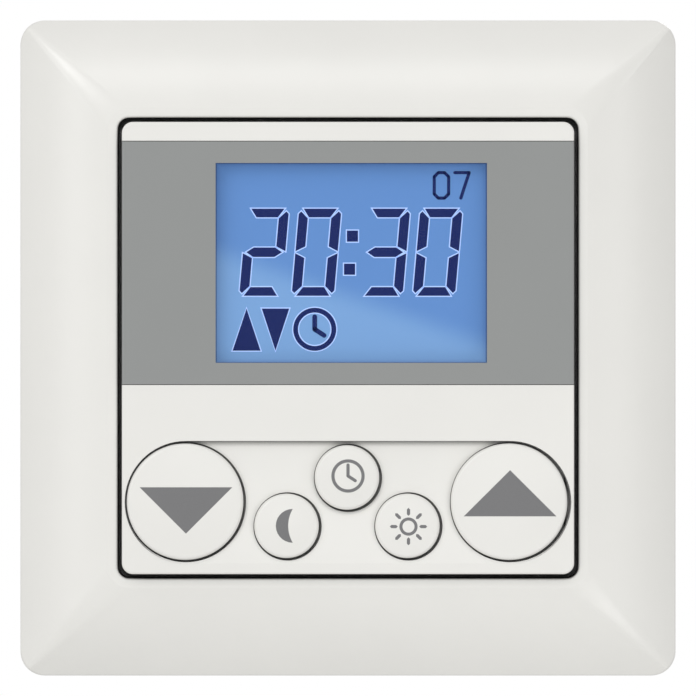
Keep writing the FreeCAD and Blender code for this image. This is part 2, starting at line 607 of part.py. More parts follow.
def lcd_holder():
    """White moulded frame that locates the glass over the board and keeps the light in."""
    fit = SEAT_FIT
    left, right = APERTURE_X - LCD_W / 2, APERTURE_X + LCD_W / 2
    low = LCD_FOOT - LCD_CONTACTS
    through = BOARD_FRONT_Y + 1
    body = block(left - HOLDER_WALL, right + HOLDER_WALL, FRONT_GLASS_Y + fit, BOARD_FRONT_Y,
                 low - HOLDER_WALL, LCD_TOP + HOLDER_WALL)
    seat = block(left - fit, right + fit, FRONT_GLASS_Y - 1, REAR_GLASS_Y, low - fit, LCD_TOP + fit)
    light_box = block(left - fit, right + fit, REAR_GLASS_Y - 1, through, LCD_FOOT - fit, LCD_TOP + fit)
    strip_slot = centred(STRIP_W + 2 * fit, STRIP_THICK + 2 * fit, REAR_GLASS_Y - 1, through,
                         APERTURE_X, STRIP_Z)
    return body.cut([seat, light_box, strip_slot])


# ---------------------------------------------------------------- buttons and switches
def button_cap(x, z, hole_r, gap):
    """Crowned cap with a retaining flange, cut flat beside a wall, a centre boss and two guide legs."""
    r = hole_r - gap
    top = FACE_Y - BUTTON_PROUD
    shoulder = top + BUTTON_CROWN
    flange_y = SHELL_INNER_Y + SEAT_FIT
    back = flange_y + BUTTON_FLANGE_THICK
    flange_r = hole_r + BUTTON_FLANGE_LIP
    bore_r = r - BUTTON_WALL
    roof = shoulder + BUTTON_EDGE + BUTTON_WALL / 2
    boss_end = BOARD_FRONT_Y - SWITCH_HEIGHT - PLUNGER_STICKOUT
    flat_r = r - BUTTON_EDGE
    crown = Part.Arc(Vec(0, top, 0), Vec(flat_r / 2, top + BUTTON_CROWN / 4, 0), Vec(flat_r, shoulder, 0))
    corner = BUTTON_EDGE * (1 - math.sqrt(0.5))
    edge = Part.Arc(
        Vec(flat_r, shoulder, 0), Vec(r - corner, shoulder + corner, 0), Vec(r, shoulder + BUTTON_EDGE, 0)
    )
    rest = lines(
        [Vec(px, py, 0) for px, py in (
            (r, shoulder + BUTTON_EDGE), (r, flange_y), (flange_r, flange_y), (flange_r, back),
            (bore_r, back), (bore_r, roof), (PLUNGER_R, roof), (PLUNGER_R, boss_end), (0, boss_end), (0, top),
        )]
    )
    cap = turned([crown.toShape(), edge.toShape(), *rest], x, z)
    leg_end = BOARD_BACK_Y - BUTTON_TRAVEL - SEAT_FIT
    legs = [rod(BUTTON_WALL / 2, back - LEG_LAP, leg_end, x, pz) for pz in leg_places(z, r)]
    cap = fused(cap, *legs)
    cap.translate(Vec(-CAP_LEFT * gap, 0, CAP_UP * gap))
    room = SHELL_BORE - 2 * SLIDE_FIT
    free_y = SHELL_INNER_Y - BUTTON_TRAVEL - SLIDE_FIT
    keep = fused(
        prism(INSERT_SIZE, INSERT_SIZE, INSERT_CORNER_R, top - 1, free_y),
        prism(room, room, INSERT_CORNER_R, free_y, 0),
    )
    return cap.common(keep)


def leg_places(z, cap_r):
    """Heights of a button's two guide legs, above and below its centre."""
    offset = cap_r - BUTTON_WALL / 2
    return [z - offset, z + offset]


def switch_bodies():
    """Square key switches on the board, one under each button, with a bore for its plunger and four feet."""
    front = BOARD_FRONT_Y - SWITCH_HEIGHT
    half = SWITCH_SIZE / 2
    foot_y = (BOARD_FRONT_Y - SWITCH_FOOT_THICK, BOARD_FRONT_Y)
    bodies = []
    for _, x, z, _, _ in BUTTONS:
        body = prism(SWITCH_SIZE, SWITCH_SIZE, SWITCH_CORNER_R, front, BOARD_FRONT_Y, x, z)
        feet = [
            centred(SWITCH_FOOT_W, 2 * SWITCH_FOOT_OUT, *foot_y, x + dx, z + dz)
            for dx in (-SWITCH_FOOT_X, SWITCH_FOOT_X)
            for dz in (-half, half)
        ]
        body = fused(body, *feet)
        bodies.append(body.cut(rod(PLUNGER_R + SHAFT_FIT, front - 1, front + SWITCH_BORE_DEPTH, x, z)))
    return Part.makeCompound(bodies)


def plunger(x, z):
    front = BOARD_FRONT_Y - SWITCH_HEIGHT - PLUNGER_STICKOUT
    back = BOARD_FRONT_Y - SWITCH_HEIGHT + SWITCH_BORE_DEPTH - BUTTON_TRAVEL - SLIDE_FIT
    return rod(PLUNGER_R, front, back, x, z)


# ---------------------------------------------------------------- control board
def control_board():
    """Square board with holes for its screws and for the buttons' guide legs."""
    board = prism(BOARD_SIDE, BOARD_SIDE, INSERT_CORNER_R, BOARD_FRONT_Y, BOARD_BACK_Y)
    through = (BOARD_FRONT_Y - 1, BOARD_BACK_Y + 1)
    holes = [rod(BOARD_SCREW_R + SLIDE_FIT, *through, x, z) for x, z in BOARD_SCREWS]
    for _, x, z, hole_r, gap in BUTTONS:
        places = leg_places(z, hole_r - gap)
        holes += [rod(BUTTON_WALL / 2 + SLIDE_FIT, *through, x, pz) for pz in places]
    return board.cut(holes)


def board_screws():
    """Pan-head screws with cross recesses, from the board's back into the shell's bosses."""
    top = BOARD_BACK_Y + BOARD_HEAD
    screws = []
    for x, z in BOARD_SCREWS:
        head = rod(BOARD_HEAD_R, BOARD_BACK_Y, top, x, z)
        head = head.makeFillet(BOARD_HEAD_ROUND, edges_at(head, lambda p: abs(p.y - top) < 0.01))
        shank = rod(BOARD_SCREW_R, SHELL_INNER_Y + BOARD_SCREW_END, BOARD_BACK_Y + NOTHING, x, z)
        screws.append(fused(head, shank).cut(cross(BOARD_HEAD_R, top - CROSS_DEPTH, top + 1, x, z)))
    return Part.makeCompound(screws)


def microcontroller():
    top = BOARD_BACK_Y + MCU_HEIGHT
    body = prism(MCU_SIZE, MCU_SIZE, 2 * MCU_STAND, BOARD_BACK_Y + MCU_STAND, top, MCU_X, MCU_Z)
    inset = MCU_SIZE / 2 - MCU_DOT_INSET
    return body.cut(rod(MCU_DOT_R, top - MCU_DOT_DEPTH, top + 1, MCU_X - inset, MCU_Z + inset))


def microcontroller_leads():
    """Gull-wing leads on all four sides, each a flat foot on the board and a shoulder at the body."""
    width, thick, half = MCU_LEAD_W, MCU_LEAD_THICK, MCU_SIZE / 2
    bend = half + MCU_LEAD_SHOULDER
    y0, y1 = BOARD_BACK_Y, BOARD_BACK_Y + MCU_LEAD_RISE
    leads = []
    for i in range(MCU_LEADS):
        at = (i - (MCU_LEADS - 1) / 2) * MCU_LEAD_PITCH
        sides = (at - width / 2, at + width / 2)
        for quarter in range(4):
            foot = block(bend, half + MCU_LEAD_REACH, y0, y0 + thick, *sides)
            riser = block(bend, bend + thick, y0, y1, *sides)
            shoulder = block(half, bend + thick, y1 - thick, y1, *sides)
            lead = fused(foot, riser, shoulder)
            lead.rotate(Vec(0, 0, 0), Vec(0, 1, 0), 90 * quarter)
            lead.translate(Vec(MCU_X, 0, MCU_Z))
            leads.append(lead)
    return Part.makeCompound(leads)


def backup_cell():
    """Coin-shaped capacitor that keeps the clock running through a power cut."""
    top = BOARD_BACK_Y + CELL_HEIGHT
    can = rod(CELL_R, BOARD_BACK_Y + CELL_STAND, top, CELL_X, CELL_Z)
    can = can.makeFillet(CELL_ROUND, edges_at(can, lambda p: abs(p.y - top) < 0.01))
    foot_y = (BOARD_BACK_Y, BOARD_BACK_Y + CELL_STAND + NOTHING)
    feet = [centred(CELL_FOOT, CELL_FOOT, *foot_y, CELL_X + side * CELL_FOOT_X, CELL_Z) for side in (-1, 1)]
    return fused(can, *feet)


def clock_crystal():
    """Small cylindrical quartz can that lies on the board, with its two wires bent down."""
    y = BOARD_BACK_Y + CRYSTAL_R
    half = CRYSTAL_WIRE / 2
    end = CRYSTAL_X - CRYSTAL_LENGTH / 2
    tip = end - CRYSTAL_WIRE_OUT
    can = Part.makeCylinder(CRYSTAL_R, CRYSTAL_LENGTH, Vec(end, y, CRYSTAL_Z), Vec(1, 0, 0))
    wires = []
    for z in (CRYSTAL_Z - CRYSTAL_WIRE_Z, CRYSTAL_Z + CRYSTAL_WIRE_Z):
        wires.append(block(tip, end + half, y - half, y + half, z - half, z + half))
        wires.append(block(tip, tip + CRYSTAL_WIRE, BOARD_BACK_Y, y, z - half, z + half))
    return fused(can, *wires)


# ---------------------------------------------------------------- plug-in link
def link_socket():
    """Female strip on the back of the control board."""
    y1 = BOARD_BACK_Y + LINK_SOCKET_HEIGHT
    body = centred(LINK_BODY_W, LINK_BODY_H, BOARD_BACK_Y, y1, 0, LINK_Z)
    bottom = y1 - LINK_ENGAGE - LINK_SPARE
    return body.cut([centred(LINK_HOLE, LINK_HOLE, bottom, y1 + 1, x, z) for x, z in LINK_PLACES])


def link_header():
    """Moulded base of the pins on the power board."""
    front = POWER_FRONT_Y - LINK_HEADER_HEIGHT
    body = centred(LINK_BODY_W, LINK_BODY_H, front, POWER_FRONT_Y, 0, LINK_Z)
    return body.cut([centred(LINK_PIN, LINK_PIN, front - 1, POWER_FRONT_Y + 1, x, z) for x, z in LINK_PLACES])


def link_pins():
    tip = BOARD_BACK_Y + LINK_SOCKET_HEIGHT - LINK_ENGAGE
    tail = POWER_BACK_Y + LINK_TAIL
    return Part.makeCompound([centred(LINK_PIN, LINK_PIN, tip, tail, x, z) for x, z in LINK_PLACES])


# ---------------------------------------------------------------- tray
def tray_nibs(grow=0.0):
    """Centre and size of the four snap nibs on the flange's edges; grow gives their windows in the shell."""
    reach = BOARD_SIDE / 2 + NIB_REACH / 2
    long, out = NIB_LENGTH + 2 * grow, NIB_REACH + 2 * grow
    level, upright = (long, out), (out, long)
    return [(0, reach, level), (0, -reach, level), (reach, 0, upright), (-reach, 0, upright)]


def link_opening(y0, y1):
    """Room round the link's socket and header."""
    return centred(LINK_BODY_W + 2 * SLIDE_FIT, LINK_BODY_H + 2 * SLIDE_FIT, y0, y1, 0, LINK_Z)


def rear_tray():
    """Tray that closes the control unit: a flange inside the shell, and a tub that passes the plate."""
    inner_back = TUB_BACK - TRAY_WALL
    flange = prism(BOARD_SIDE, BOARD_SIDE, INSERT_CORNER_R, TRAY_FRONT_Y, SHELL_BACK_Y)
    tub = prism(TUB_SIZE, TUB_SIZE, TUB_CORNER_R, TRAY_FRONT_Y + NOTHING, TUB_BACK)
    tub = tub.makeFillet(TUB_ROUND, edges_at(tub, lambda p: abs(p.y - TUB_BACK) < 0.01))
    nibs = [centred(*size, *NIB_Y, x, z) for x, z, size in tray_nibs()]
    pegs = [rod(PEG_R, inner_back, TUB_BACK + PEG_LENGTH, x, 0) for x in (-PEG_X, PEG_X)]
    body = fused(flange, tub, *nibs, *pegs)
    cuts = [
        prism(TUB_BORE, TUB_BORE, TUB_CORNER_R - TRAY_WALL, TRAY_FRONT_Y - 1, inner_back),
        link_opening(inner_back - 1, TUB_BACK + 1),
    ]
    cuts += [rod(BOARD_HEAD_R + SLIDE_FIT, TRAY_FRONT_Y - 1, SHELL_BACK_Y + 1, x, z) for x, z in BOARD_SCREWS]
    slit_y = (TUB_BACK + PEG_ROOT, TUB_BACK + PEG_LENGTH + 1)
    cuts += [centred(2 * PEG_R + 1, PEG_SLIT, *slit_y, x, 0) for x in (-PEG_X, PEG_X)]
    return body.cut(cuts)


# ---------------------------------------------------------------- mounting plate
def mounting_plate():
    """Zinc-plated sheet with screw slots and four bent tabs that grip the power unit."""
    plate = prism(PLATE_SIDE, PLATE_SIDE, PLATE_CORNER_R, -PLATE_THICK, 0)
    through = (-PLATE_THICK - 1, 1)
    opening = TUB_SIZE + 2 * PLATE_OPENING_GAP
    cuts = [prism(opening, opening, TUB_CORNER_R + PLATE_OPENING_GAP, *through)]
    half = SCREW_SPACING / 2
    for at in (-half, half):
        cuts.append(prism(SCREW_SLOT_LENGTH, 2 * SCREW_SLOT_R, SCREW_SLOT_R - NOTHING, *through, at, 0))
        cuts.append(rod(SCREW_SLOT_R, *through, 0, at))
    bends = []
    inner = UNIT_FLAT / 2 + SLIDE_FIT
    outer = inner + PLATE_THICK
    relief_w = TAB_WIDTH + 2 * TAB_RELIEF
    for x in (-TAB_X, TAB_X):
        for side in (-1, 1):
            cuts.append(centred(relief_w, TAB_LENGTH, *through, x, side * (outer + TAB_LENGTH / 2)))
            tab = centred(TAB_WIDTH, PLATE_THICK, -PLATE_THICK / 2, TAB_LENGTH, x, side * (inner + outer) / 2)
            catch = centred(CATCH_WIDTH + 2 * SLIDE_FIT, 3 * PLATE_THICK, CATCH_Y[0] - SEAT_FIT,
                            CATCH_Y[1] + SEAT_FIT, x, side * inner)
            bends.append(tab.cut(catch))
    return fused(plate.cut(cuts), *bends)


# ---------------------------------------------------------------- power unit
def unit_form(inset, y0, y1):
    """Round form with four flats, inset evenly from the outside."""
    side = UNIT_FLAT - 2 * inset
    return rod(UNIT_DIAMETER / 2 - inset, y0, y1).common(centred(side, side, y0, y1))


def power_housing():
    """Cup of the power unit, with a notch at the back where the terminals stand."""
    wall = UNIT_WALL
    inner_back = UNIT_BACK - wall
    notch_half = BLOCK_W / 2 + SLIDE_FIT
    notch_top = BLOCK_TOP + SLIDE_FIT
    cup = unit_form(0, LID_BACK_Y, UNIT_BACK)
    cup = cup.makeFillet(UNIT_ROUND, edges_at(cup, lambda p: abs(p.y - UNIT_BACK) < 0.01))
    notch = block(-notch_half, notch_half, NOTCH_FRONT_Y, UNIT_BACK + 1, -UNIT_DIAMETER, notch_top)
    walled = block(-notch_half - wall, notch_half + wall, POWER_BACK_Y + SLIDE_FIT * 2, UNIT_BACK + 1,
                   -UNIT_DIAMETER, notch_top + wall)
    body = cup.cut([notch, unit_form(wall, LID_BACK_Y - 1, inner_back).cut(walled)])
    inside = unit_form(wall / 2, 0, UNIT_BACK)
    columns = [rod(BOSS_R, POWER_BACK_Y, inner_back + NOTHING, x, z).common(inside) for x, z in BOSSES]
    columns = [column.cut(notch) for column in columns]
    catch_z = UNIT_FLAT / 2 + (CATCH_REACH - wall / 2) / 2
    catches = [
        centred(CATCH_WIDTH, wall / 2 + CATCH_REACH, *CATCH_Y, x, z)
        for x in (-TAB_X, TAB_X)
        for z in (-catch_z, catch_z)
    ]
    body = fused(body, *columns, *catches)
    cuts = [rod(LID_PILOT_R, POWER_BACK_Y - 1, inner_back - wall, x, z) for x, z in BOSSES]
    cuts.append(block(-BLOCK_W / 2 - SEAT_FIT, BLOCK_W / 2 + SEAT_FIT, POWER_BACK_Y, NOTCH_FRONT_Y + 1,
                      BLOCK_FOOT - SEAT_FIT, BLOCK_TOP + SEAT_FIT))
    round_end = VENT_WIDTH / 2 - NOTHING
    for i in range(VENT_COUNT):
        x = (i - (VENT_COUNT - 1) / 2) * VENT_PITCH
        cuts.append(prism(VENT_WIDTH, VENT_LENGTH, round_end, inner_back - 1, UNIT_BACK + 1, x, VENT_Z))
    return body.cut(cuts)


def power_lid():
    """Front of the power unit: seats for the plate, guide holes, and spacers that hold the board."""
    body = unit_form(0, LID_FRONT_Y, LID_BACK_Y)
    reach = UNIT_FLAT / 2 - LID_PAD_W / 2 - SLIDE_FIT
    pads = []
    for at in (-reach, reach):
        pads.append(centred(LID_PAD_W, LID_PAD_L, 0, LID_BACK_Y, at, 0))
        pads.append(centred(LID_PAD_L, LID_PAD_W, 0, LID_BACK_Y, 0, at))
    inside = unit_form(UNIT_WALL + SLIDE_FIT, 0, UNIT_BACK)
    spacers = [rod(BOSS_R, LID_FRONT_Y, POWER_FRONT_Y, x, z).common(inside) for x, z in BOSSES]
    body = fused(body, *pads, *spacers)
    cuts = [link_opening(-1, LID_BACK_Y + 1)]
    for x, z in BOSSES:
        cuts.append(rod(LID_SCREW_R + SHAFT_FIT, -1, POWER_FRONT_Y + 1, x, z))
        cuts.append(rod(LID_HEAD_R + SHAFT_FIT, -1, LID_FRONT_Y + LID_HEAD_DEPTH, x, z))
    cuts += [rod(PEG_R + SHAFT_FIT, -1, LID_BACK_Y + 1, x, 0) for x in (-PEG_X, PEG_X)]
    return body.cut(cuts)


def lid_screws():
    """Countersunk-in screws with cross recesses, through the lid and the power board into the housing."""
    top = LID_FRONT_Y + SHAFT_FIT
    seat = LID_FRONT_Y + LID_HEAD_DEPTH
    screws = []
    for x, z in BOSSES:
        head = rod(LID_HEAD_R, top, seat, x, z)
        shank = rod(LID_PILOT_R - SHAFT_FIT, seat - NOTHING, POWER_BACK_Y + LID_SCREW_GRIP, x, z)
        screws.append(fused(head, shank).cut(cross(LID_HEAD_R, top - 1, top + CROSS_DEPTH, x, z)))
    return Part.makeCompound(screws)


def power_board():
    board = unit_form(UNIT_WALL + SLIDE_FIT, POWER_FRONT_Y, POWER_BACK_Y)
    through = (POWER_FRONT_Y - 1, POWER_BACK_Y + 1)
    pin, leg = LINK_PIN + 2 * SHAFT_FIT, BAR_LEG + 2 * SHAFT_FIT
    holes = [rod(LID_SCREW_R + SLIDE_FIT, *through, x, z) for x, z in BOSSES]
    holes += [centred(pin, pin, *through, x, z) for x, z in LINK_PLACES]
    holes += [centred(leg, leg, *through, x, BAR_LEG_Z) for x in TERMINAL_X]
    return board.cut(holes)


def relay(x, z):
    """Sealed relay: rounded case on a base with a small step."""
    top = POWER_BACK_Y + RELAY_H
    case = prism(RELAY_W, RELAY_L, RELAY_CORNER_R, POWER_BACK_Y + RELAY_BASE, top, x, z)
    case = case.makeFillet(RELAY_ROUND, edges_at(case, lambda p: abs(p.y - top) < 0.01))
    base_w, base_l = RELAY_W - 2 * RELAY_BASE_SET, RELAY_L - 2 * RELAY_BASE_SET
    return fused(case, centred(base_w, base_l, POWER_BACK_Y, POWER_BACK_Y + RELAY_BASE + NOTHING, x, z))


def mains_capacitor():
    """Film capacitor in a moulded box."""
    top = POWER_BACK_Y + MAINS_CAP_H
    body = prism(MAINS_CAP_W, MAINS_CAP_L, MAINS_CAP_CORNER_R, POWER_BACK_Y, top, MAINS_CAP_X, MAINS_CAP_Z)
    return body.makeFillet(MAINS_CAP_ROUND, edges_at(body, lambda p: abs(p.y - top) < 0.01))


def smoothing_capacitor():
    """Upright electrolytic can with a bead near its foot and a dished top."""
    foot, top = POWER_BACK_Y, POWER_BACK_Y + CAN_H
    bead = foot + CAN_BEAD_Y
    dished = top - CAN_DISH
    outline = [
        (0, foot), (CAN_R, foot), (CAN_R, bead - CAN_BEAD), (CAN_R - CAN_BEAD_DEPTH, bead),
        (CAN_R, bead + CAN_BEAD), (CAN_R, top - CAN_CRIMP), (CAN_R - CAN_CRIMP, top), (CAN_R - CAN_RIM, top),
        (CAN_R - CAN_RIM - CAN_DISH / 2, dished), (0, dished), (0, foot),
    ]
    return turned(lines([Vec(r, y, 0) for r, y in outline]), CAN_X, CAN_Z)


def varistor():
    """Lacquered disc that stands on edge, with two wire legs."""
    y = POWER_BACK_Y + DISC_R + DISC_STAND
    disc = Part.makeCylinder(DISC_R, DISC_THICK, Vec(DISC_X - DISC_THICK / 2, y, DISC_Z), Vec(1, 0, 0))
    rims = edges_at(disc, lambda p: abs(abs(p.x - DISC_X) - DISC_THICK / 2) < 0.01)
    disc = disc.makeFillet(DISC_ROUND, rims)
    legs = [rod(DISC_LEG_R, POWER_BACK_Y, y, DISC_X, DISC_Z + dz) for dz in (-DISC_LEG_Z, DISC_LEG_Z)]
    return fused(disc, *legs)


def fuse():
    """Round plug-in fuse."""
    top = POWER_BACK_Y + FUSE_H
    body = rod(FUSE_R, POWER_BACK_Y, top, FUSE_X, FUSE_Z)
    return body.makeFillet(FUSE_ROUND, edges_at(body, lambda p: abs(p.y - top) < 0.01))


def rectifier():
    top = POWER_BACK_Y + RECTIFIER_H
    return prism(RECTIFIER_W, RECTIFIER_L, RECTIFIER_CORNER_R, POWER_BACK_Y, top, RECTIFIER_X, RECTIFIER_Z)


# ---------------------------------------------------------------- terminals

def terminal_block():
    """Moulded block: for each pole a cage's chamber, a wire entry from below and a driver hole behind."""
    body = block(-BLOCK_W / 2, BLOCK_W / 2, POWER_BACK_Y, BLOCK_BACK, BLOCK_FOOT, BLOCK_TOP)
    body = body.makeFillet(BLOCK_ROUND, edges_at(body, lambda p: abs(p.y - BLOCK_BACK) < 0.01))
    before = POWER_BACK_Y - 1
    chamber_w, chamber_l = CAGE_WIDTH + 2 * SLIDE_FIT, CAGE_LENGTH + 2 * SLIDE_FIT
    bar_half = BAR_WIDTH / 2 + SEAT_FIT
    entry_y = CAGE_FRONT_Y + CAGE_WALL
    cuts = []
    for x in TERMINAL_X:
        cuts += [
            centred(chamber_w, chamber_l, before, CHAMBER_BACK_Y, x, BLOCK_Z),
            block(x - bar_half, x + bar_half, before, BAR_Y + BAR_THICK + SEAT_FIT,
                  BLOCK_Z, BAR_LEG_Z + BAR_LEG / 2 + SEAT_FIT),
            block(x - WIRE_W / 2, x + WIRE_W / 2, entry_y, entry_y + WIRE_ROOM, BLOCK_FOOT - 1, BLOCK_Z),
            rod(TERMINAL_HEAD_R + SLIDE_FIT, HEAD_SEAT_Y, BLOCK_BACK + 1, x, BLOCK_Z),
            rod(TERMINAL_SCREW_R + SLIDE_FIT, CHAMBER_BACK_Y - 1, HEAD_SEAT_Y + 1, x, BLOCK_Z),
        ]
    return body.cut(cuts)


def terminal_bars():
    """Fixed contact bars: each passes through its cage, and its leg is soldered into the board."""
    back = BAR_Y + BAR_THICK
    bars = []
    for x in TERMINAL_X:
        bar = block(x - BAR_WIDTH / 2, x + BAR_WIDTH / 2, BAR_Y, back,
                    BLOCK_Z - CAGE_LENGTH / 2, BAR_LEG_Z + BAR_LEG / 2)
        leg = centred(BAR_LEG, BAR_LEG, POWER_FRONT_Y - BAR_TAIL, back, x, BAR_LEG_Z)
        bars.append(fused(bar, leg))
    return Part.makeCompound(bars)


def terminal_cage(x):
    """Brass box that the screw draws up, so that its floor clamps the wire against the bar."""
    body = centred(CAGE_WIDTH, CAGE_LENGTH, CAGE_FRONT_Y, CAGE_BACK_Y, x, BLOCK_Z)
    window_w = CAGE_WIDTH - 2 * CAGE_SIDE
    window = centred(window_w, CAGE_LENGTH + 1, CAGE_FRONT_Y + CAGE_WALL, CAGE_ROOF_Y, x, BLOCK_Z)
    thread = rod(TERMINAL_SCREW_R + SHAFT_FIT, CAGE_ROOF_Y - 1, CAGE_BACK_Y + 1, x, BLOCK_Z)
    return body.cut([window, thread])


def terminal_screw(x):
    """Slotted screw, held in place by its head, that faces the back."""
    tip = BAR_Y + BAR_THICK + SLIDE_FIT
    top = HEAD_SEAT_Y + TERMINAL_HEAD
    head = rod(TERMINAL_HEAD_R, HEAD_SEAT_Y, top, x, BLOCK_Z)
    head = head.makeFillet(TERMINAL_HEAD_ROUND, edges_at(head, lambda p: abs(p.y - top) < 0.01))
    shank = rod(TERMINAL_SCREW_R, tip, HEAD_SEAT_Y + NOTHING, x, BLOCK_Z)
    slot = centred(2 * TERMINAL_HEAD_R + 1, TERMINAL_SLOT_W, top - TERMINAL_SLOT_DEPTH, top + 1, x, BLOCK_Z)
    return fused(head, shank).cut(slot)


# ---------------------------------------------------------------- build
def main():
    os.makedirs("parts", exist_ok=True)
    save("cover_frame", cover_frame())
    save("front_shell", front_shell())
    save("display_fascia", display_fascia())
    save("display_window", display_window())
    for name, shape in display_module().items():
        save(name, shape)
    save("lcd_holder", lcd_holder())
    for name, x, z, hole_r, gap in BUTTONS:
        save(f"button_{name}", button_cap(x, z, hole_r, gap))
        save(f"plunger_{name}", plunger(x, z))
    save("key_switches", switch_bodies())
    save("control_board", control_board())
    save("board_screws", board_screws())
    save("microcontroller", microcontroller())
    save("microcontroller_leads", microcontroller_leads())
    save("backup_cell", backup_cell())
    save("clock_crystal", clock_crystal())
    save("link_socket", link_socket())
    save("rear_tray", rear_tray())
    save("mounting_plate", mounting_plate())
    save("power_lid", power_lid())
    save("power_housing", power_housing())
    save("lid_screws", lid_screws())
    save("power_board", power_board())
    save("link_header", link_header())
    save("link_pins", link_pins())
    for name, (x, z) in RELAYS.items():
        save(name, relay(x, z))
    save("mains_capacitor", mains_capacitor())
    save("smoothing_capacitor", smoothing_capacitor())
    save("varistor", varistor())
    save("fuse", fuse())
    save("rectifier", rectifier())
    save("terminal_block", terminal_block())
    save("terminal_bars", terminal_bars())
    for i, x in enumerate(TERMINAL_X, 1):
        save(f"terminal_cage_{i}", terminal_cage(x))
        save(f"terminal_screw_{i}", terminal_screw(x))


main()
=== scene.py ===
"""Looks for the flush-mounted shutter timer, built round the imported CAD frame.

Everything is in metres in the CAD's frame: +X right and +Z up as the user sees it, +Y into the wall.
"""

import json
import math

import bmesh
import bpy
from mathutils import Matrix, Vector


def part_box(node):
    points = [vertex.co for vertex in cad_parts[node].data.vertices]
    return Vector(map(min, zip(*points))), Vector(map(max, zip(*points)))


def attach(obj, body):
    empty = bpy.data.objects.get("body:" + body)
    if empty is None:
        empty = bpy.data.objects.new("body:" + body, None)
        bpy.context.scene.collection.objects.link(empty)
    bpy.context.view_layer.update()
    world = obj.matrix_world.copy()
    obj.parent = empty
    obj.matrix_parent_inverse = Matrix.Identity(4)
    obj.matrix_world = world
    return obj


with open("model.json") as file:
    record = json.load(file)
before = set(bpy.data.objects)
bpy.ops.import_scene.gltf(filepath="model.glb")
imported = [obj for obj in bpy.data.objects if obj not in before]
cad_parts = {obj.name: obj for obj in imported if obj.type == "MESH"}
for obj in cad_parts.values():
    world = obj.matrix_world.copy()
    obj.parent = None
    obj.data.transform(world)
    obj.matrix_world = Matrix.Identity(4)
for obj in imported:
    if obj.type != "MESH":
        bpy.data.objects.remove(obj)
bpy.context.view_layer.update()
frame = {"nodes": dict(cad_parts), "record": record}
NODES = frame["nodes"]

MM = 0.001
BUTTON_BODIES = {name: f"{name}_button" for name in ("down", "up", "night", "clock", "day")}


# ---------------------------------------------------------------- node helpers
def new_material(name):
    """Empty node material with a Principled shader; returns the material, its tree and the shader."""
    mat = bpy.data.materials.new(name)
    mat.use_nodes = True
    tree = mat.node_tree
    return mat, tree, tree.nodes["Principled BSDF"]


def object_coords(tree, stretch=(1.0, 1.0, 1.0)):
    """Object coordinates in metres, optionally stretched for grain that runs one way."""
    coords = tree.nodes.new("ShaderNodeTexCoord")
    mapping = tree.nodes.new("ShaderNodeMapping")
    mapping.inputs["Scale"].default_value = stretch
    tree.links.new(coords.outputs["Object"], mapping.inputs["Vector"])
    return mapping.outputs["Vector"]


def noise(tree, vector, size, detail=2.0, roughness=0.5):
    """Noise whose features are about size metres across."""
    node = tree.nodes.new("ShaderNodeTexNoise")
    node.inputs["Scale"].default_value = 1.0 / size
    node.inputs["Detail"].default_value = detail
    node.inputs["Roughness"].default_value = roughness
    tree.links.new(vector, node.inputs["Vector"])
    return node.outputs["Fac"]


def ramp(tree, factor, stops):
    """Colour ramp; stops are (position, rgb)."""
    node = tree.nodes.new("ShaderNodeValToRGB")
    elements = node.color_ramp.elements
    while len(elements) < len(stops):
        elements.new(0.5)
    for element, (position, colour) in zip(elements, stops):
        element.position = position
        element.color = (*colour, 1.0)
    tree.links.new(factor, node.inputs["Fac"])
    return node.outputs["Color"]


def remap(tree, value, low, high):
    """Maps 0..1 to low..high."""
    node = tree.nodes.new("ShaderNodeMapRange")
    node.inputs["To Min"].default_value = low
    node.inputs["To Max"].default_value = high
    tree.links.new(value, node.inputs["Value"])
    return node.outputs["Result"]


def bump(tree, shader, heights):
    """Stacks bumps on a shader; heights are (value, depth in metres)."""
    last = None
    for value, depth in heights:
        node = tree.nodes.new("ShaderNodeBump")
        node.inputs["Strength"].default_value = 1.0
        node.inputs["Distance"].default_value = depth
        tree.links.new(value, node.inputs["Height"])
        if last is not None:
            tree.links.new(last, node.inputs["Normal"])
        last = node.outputs["Normal"]
    tree.links.new(last, shader.inputs["Normal"])


def multiplied(tree, colour, share):
    """Multiplies one colour by another."""
    both = tree.nodes.new("ShaderNodeMix")
    both.data_type = "RGBA"
    both.blend_type = "MULTIPLY"
    both.inputs["Factor"].default_value = 1.0
    tree.links.new(colour, both.inputs["A"])
    tree.links.new(share, both.inputs["B"])
    return both.outputs["Result"]


# The lights stand mostly above and to the left, so a spot looks for open space a little that way.
TOWARDS_LIGHTS = (-0.18, 0.0, 0.42)
OPENNESS_SAMPLES = 12
# (how open a spot is, share of its colour that the painted shade leaves)
OPENNESS_SHARES = ((0.15, 0.0), (0.38, 0.32), (0.58, 0.66), (0.82, 0.92), (0.94, 1.0))


def painted_gap_shade(tree, colour, reach):
    """Paints shade into a colour where other surfaces closer than reach cover it: in narrow gaps and under
    edges.
    """
    spot = tree.nodes.new("ShaderNodeNewGeometry")
    lean = tree.nodes.new("ShaderNodeVectorMath")
    lean.inputs[1].default_value = TOWARDS_LIGHTS
    tree.links.new(spot.outputs["Normal"], lean.inputs[0])
    unit = tree.nodes.new("ShaderNodeVectorMath")
    unit.operation = "NORMALIZE"
    tree.links.new(lean.outputs["Vector"], unit.inputs[0])
    openness = tree.nodes.new("ShaderNodeAmbientOcclusion")
    openness.samples = OPENNESS_SAMPLES
    openness.inputs["Distance"].default_value = reach
    tree.links.new(unit.outputs["Vector"], openness.inputs["Normal"])
    stops = [(position, (share,) * 3) for position, share in OPENNESS_SHARES]
    return multiplied(tree, colour, ramp(tree, openness.outputs["AO"], stops))


def shade(colour, factor):
    """Colour made lighter or darker by a factor."""
    return tuple(min(1.0, channel * factor) for channel in colour)


